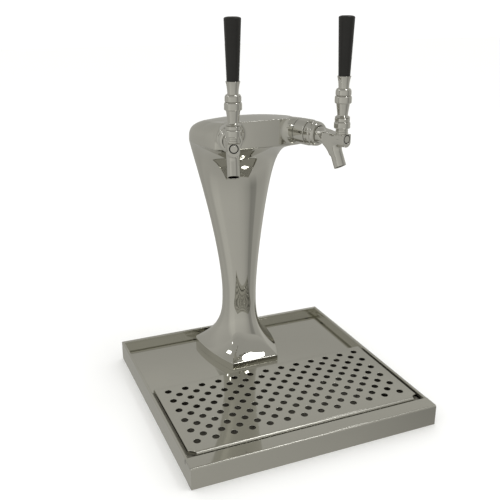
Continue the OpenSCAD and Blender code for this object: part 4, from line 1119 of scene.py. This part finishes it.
class BEERTOWER_OT_levers(bpy.types.Operator):
    """Build the bonnets and levers"""

    bl_idname = "beer_tower.levers"
    bl_label = "Levers"

    def execute(self, context):
        v = context.scene.beer_tower_lever
        low_r, high_r, well_r = v.bonnet_d / 2, v.dome_d / 2, v.ball / 2 + GAP
        skirt, waist = 4 * MM, 4.6 * MM
        bore_r = low_r - 1.15 * MM
        dome_start = asin(high_r / v.dome_r)
        shoulder = [(waist, high_r - 1.4 * MM), (waist, high_r, 1.3 * MM)]
        dome = [(v.dome_r * cos(a), v.dome_r * sin(a)) for a in np.linspace(dome_start, 0, 16)]
        bonnet = [(well_r * cos(a), well_r * sin(a)) for a in np.linspace(0, pi / 2, 16)]
        bonnet += [(0, bore_r), (-skirt, bore_r)] + beaded(low_r, -skirt, waist, *BEAD_ROUND)
        bonnet += softened(shoulder + dome[:1], False).tolist() + dome

        # The slot in the dome that the lever's stem swings in
        stem, reach = STEM_R + GAP, v.dome_r + MM
        lean = (reach * sin(v.travel), reach * cos(v.travel))
        off = (stem * cos(v.travel), -stem * sin(v.travel))
        far = lean[0] + off[0]
        slot = [(-stem, 0), (-stem, reach), (far, reach), (far, lean[1] + off[1]), off]
        prism = extruded(slot, [lambda p, q: (p, -stem, q), lambda p, q: (p, stem, q)])

        ball, tip, tip_stem = v.ball / 2, 1.9 * MM, 1.7 * MM
        low = v.dome_r + GAP
        bead_z = low + v.neck
        top = bead_z + v.bead
        seat = top + GAP
        stud_top = seat + v.locknut + v.ferrule + 20 * MM
        lever = [(-v.tip - tip * cos(a), tip * sin(a)) for a in np.linspace(0, 2.0, 7)]
        turns = np.linspace(asin(tip_stem / ball), pi - asin(STEM_R / ball), 20)
        lever += [(-ball * cos(a), ball * sin(a)) for a in turns]
        # The lever's flange covers the slot: its underside follows the dome, its top lies a little higher
        flange_r, collar_r, skin = 9.3 * MM, 7.4 * MM, low + 0.6 * MM
        wide = asin(flange_r / low)
        lever += [(low * cos(a), low * sin(a)) for a in np.linspace(asin(STEM_R / low), wide, 8)]
        lever += [(skin * cos(a), skin * sin(a)) for a in np.linspace(wide, asin(collar_r / skin), 6)]
        neck_foot = skin * cos(asin(6.9 * MM / skin)) + 0.4 * MM
        neck = [
            (skin * cos(asin(collar_r / skin)), collar_r),
            (neck_foot, v.neck_low / 2 + 0.1 * MM, 0.7 * MM),
            (low + v.neck / 2, mix(v.neck_low, v.neck_high, 0.5) / 2, 4 * MM),
            (bead_z, v.neck_high / 2),
        ]
        groove_r = 0.7 * v.bead_d / 2
        lever += softened(neck, False).tolist() + beaded(v.bead_d / 2, bead_z, top, *BEAD_ROUND)
        lever += [(top, groove_r), (seat, groove_r), (seat, STUD_R), (stud_top, STUD_R), (stud_top, 0)]
        for word, side in SIDES:
            place = lever_matrix(side)
            node = "bonnet_" + word
            spun("bonnet_turned_" + word, bonnet, place, node, closed=False, cut=moved(prism, place))
            spun("lever_turned_" + word, lever, place, "lever_" + word, "lever_" + word, closed=False)
        return {"FINISHED"}


class BEERTOWER_OT_handles(bpy.types.Operator):
    """Build the locknuts, ferrules and grips"""

    bl_idname = "beer_tower.handles"
    bl_label = "Handles"

    def execute(self, context):
        v = context.scene.beer_tower_lever
        stud = STUD_R + 0.1 * MM
        base = v.dome_r + 2 * GAP + v.neck + v.bead
        locknut = beaded(v.locknut_d / 2, 0, v.locknut, 4.4 * MM, 3.1 * MM)
        locknut = [(0, stud)] + locknut + [(v.locknut, stud)]
        mouth = v.grip_low / 2 + 0.1 * MM
        seat = 3 * MM
        cup = [(v.ferrule * s, mix(v.waist, v.mouth, s * s) / 2) for s in np.linspace(0, 0.97, 12)]
        rim = [cup[-1], (v.ferrule, v.mouth / 2, 0.4 * MM), (v.ferrule, mouth, 0.1 * MM)]
        ferrule = [(0, stud)] + cup + softened(rim, False).tolist()
        ferrule += [(v.ferrule - seat, mouth), (v.ferrule - seat, stud)]
        dome, high = 2.4 * MM, v.grip_high / 2
        shoulder = seat + v.grip - dome
        grip = [(0, 0), (0, v.grip_low / 2), (seat, v.grip_low / 2)]
        shares = np.linspace(0.05, 0.97, 12)
        grip += [(mix(seat, shoulder, s), mix(v.grip_low, v.grip_high, s) / 2) for s in shares]
        grip += [(shoulder + dome * sin(a), high * cos(a) ** 0.55) for a in np.linspace(0.08, pi / 2, 16)]
        for word, side in SIDES:
            body = "lever_" + word
            place = lever_matrix(side) @ Matrix.Translation((0, 0, base))
            spun("handle_locknut_turned_" + word, locknut, place, "handle_locknut_" + word, body)
            place = place @ Matrix.Translation((0, 0, v.locknut))
            spun("handle_ferrule_turned_" + word, ferrule, place, "handle_ferrule_" + word, body)
            place = place @ Matrix.Translation((0, 0, v.ferrule - seat))
            made = make_object("handle_grip_moulded_" + word, moved(turned(grip, False), place))
            settle(made, body, "satin_black_phenolic", ["handle_grip_" + word])
        return {"FINISHED"}


class BEERTOWER_OT_dressing(bpy.types.Operator):
    """Give the pieces that are shown as the CAD made them their finishes"""

    bl_idname = "beer_tower.dressing"
    bl_label = "Dressing"

    def execute(self, context):
        for material, nodes in DRESSED.items():
            for node in nodes:
                dress(node, material)
        for material, stems in DRESSED_PAIRS.items():
            for stem in stems:
                for word, _ in SIDES:
                    dress(stem + word, material)
        return {"FINISHED"}


class BEERTOWER_OT_stage(bpy.types.Operator):
    """Set the pale floor, the studio light and the camera"""

    bl_idname = "beer_tower.stage"
    bl_label = "Stage"

    def execute(self, context):
        scene = context.scene
        scene.view_settings.view_transform = "Standard"
        tones = scene.beer_tower_finishes
        floor_finish, tree, shader = new_material("pale_studio_floor")
        place = add_node(tree, "ShaderNodeTexCoord").outputs["Object"]
        grain = add_node(tree, "ShaderNodeTexNoise", {"Vector": place, "Scale": 1 / (40 * MM), "Detail": 3})
        spread = {"Value": grain.outputs["Fac"], "To Min": 0.85, "To Max": 0.95}
        sheen = add_node(tree, "ShaderNodeMapRange", spread)
        tree.links.new(sheen.outputs["Result"], shader.inputs["Roughness"])
        shader.inputs["Base Color"].default_value = tones.floor
        corners = [(x * FLOOR_REACH, y * FLOOR_REACH, 0) for x, y in ((-1, -1), (1, -1), (1, 1), (-1, 1))]
        mesh = bpy.data.meshes.new("floor")
        mesh.from_pydata(corners, [], [(0, 1, 2, 3)])
        mesh.materials.append(floor_finish)
        floor = bpy.data.objects.new("floor", mesh)
        floor.visible_glossy = False
        scene.collection.objects.link(floor)
        light_room(scene)
        for azimuth, height, width, depth, power in SOFTBOXES:
            add_softbox(scene, radians(azimuth), radians(height), width, depth, power)

        eye = bpy.data.cameras.new("camera")
        eye.lens, eye.sensor_width = 50, 36
        camera = bpy.data.objects.new("camera", eye)
        camera.location = CAMERA_PLACE
        camera.rotation_euler = Vector(CAMERA_WAY).to_track_quat("-Z", "Y").to_euler()
        scene.collection.objects.link(camera)
        scene.camera = camera
        return {"FINISHED"}


class BEERTOWER_PT_panel(bpy.types.Panel):
    """The pieces of the beer tower, in the order they are built"""

    bl_idname = "BEERTOWER_PT_panel"
    bl_label = "Draft Beer Tower"
    bl_space_type = "VIEW_3D"
    bl_region_type = "UI"
    bl_category = "Beer Tower"

    def draw(self, context):
        for step in STEPS:
            self.layout.operator(step.bl_idname)


STEPS = (
    BEERTOWER_OT_stage,
    BEERTOWER_OT_tray,
    BEERTOWER_OT_grille,
    BEERTOWER_OT_column,
    BEERTOWER_OT_fixings,
    BEERTOWER_OT_faucets,
    BEERTOWER_OT_levers,
    BEERTOWER_OT_handles,
    BEERTOWER_OT_dressing,
)
GROUPS = {
    "beer_tower_tray": TrayShape,
    "beer_tower_column": ColumnShape,
    "beer_tower_tap": TapShape,
    "beer_tower_lever": LeverShape,
    "beer_tower_finishes": Finishes,
}


def register():
    for group in GROUPS.values():
        bpy.utils.register_class(group)
    for name, group in GROUPS.items():
        setattr(bpy.types.Scene, name, PointerProperty(type=group))
    for step in STEPS + (BEERTOWER_PT_panel,):
        bpy.utils.register_class(step)


def unregister():
    for step in (BEERTOWER_PT_panel,) + STEPS[::-1]:
        bpy.utils.unregister_class(step)
    for name, group in GROUPS.items():
        delattr(bpy.types.Scene, name)
        bpy.utils.unregister_class(group)


def main():
    register()
    bpy.ops.beer_tower.stage()
    bpy.ops.beer_tower.tray()
    bpy.ops.beer_tower.grille()
    bpy.ops.beer_tower.column()
    bpy.ops.beer_tower.fixings()
    bpy.ops.beer_tower.faucets()
    bpy.ops.beer_tower.levers()
    bpy.ops.beer_tower.handles()
    bpy.ops.beer_tower.dressing()


if __name__ == "__main__":
    main()
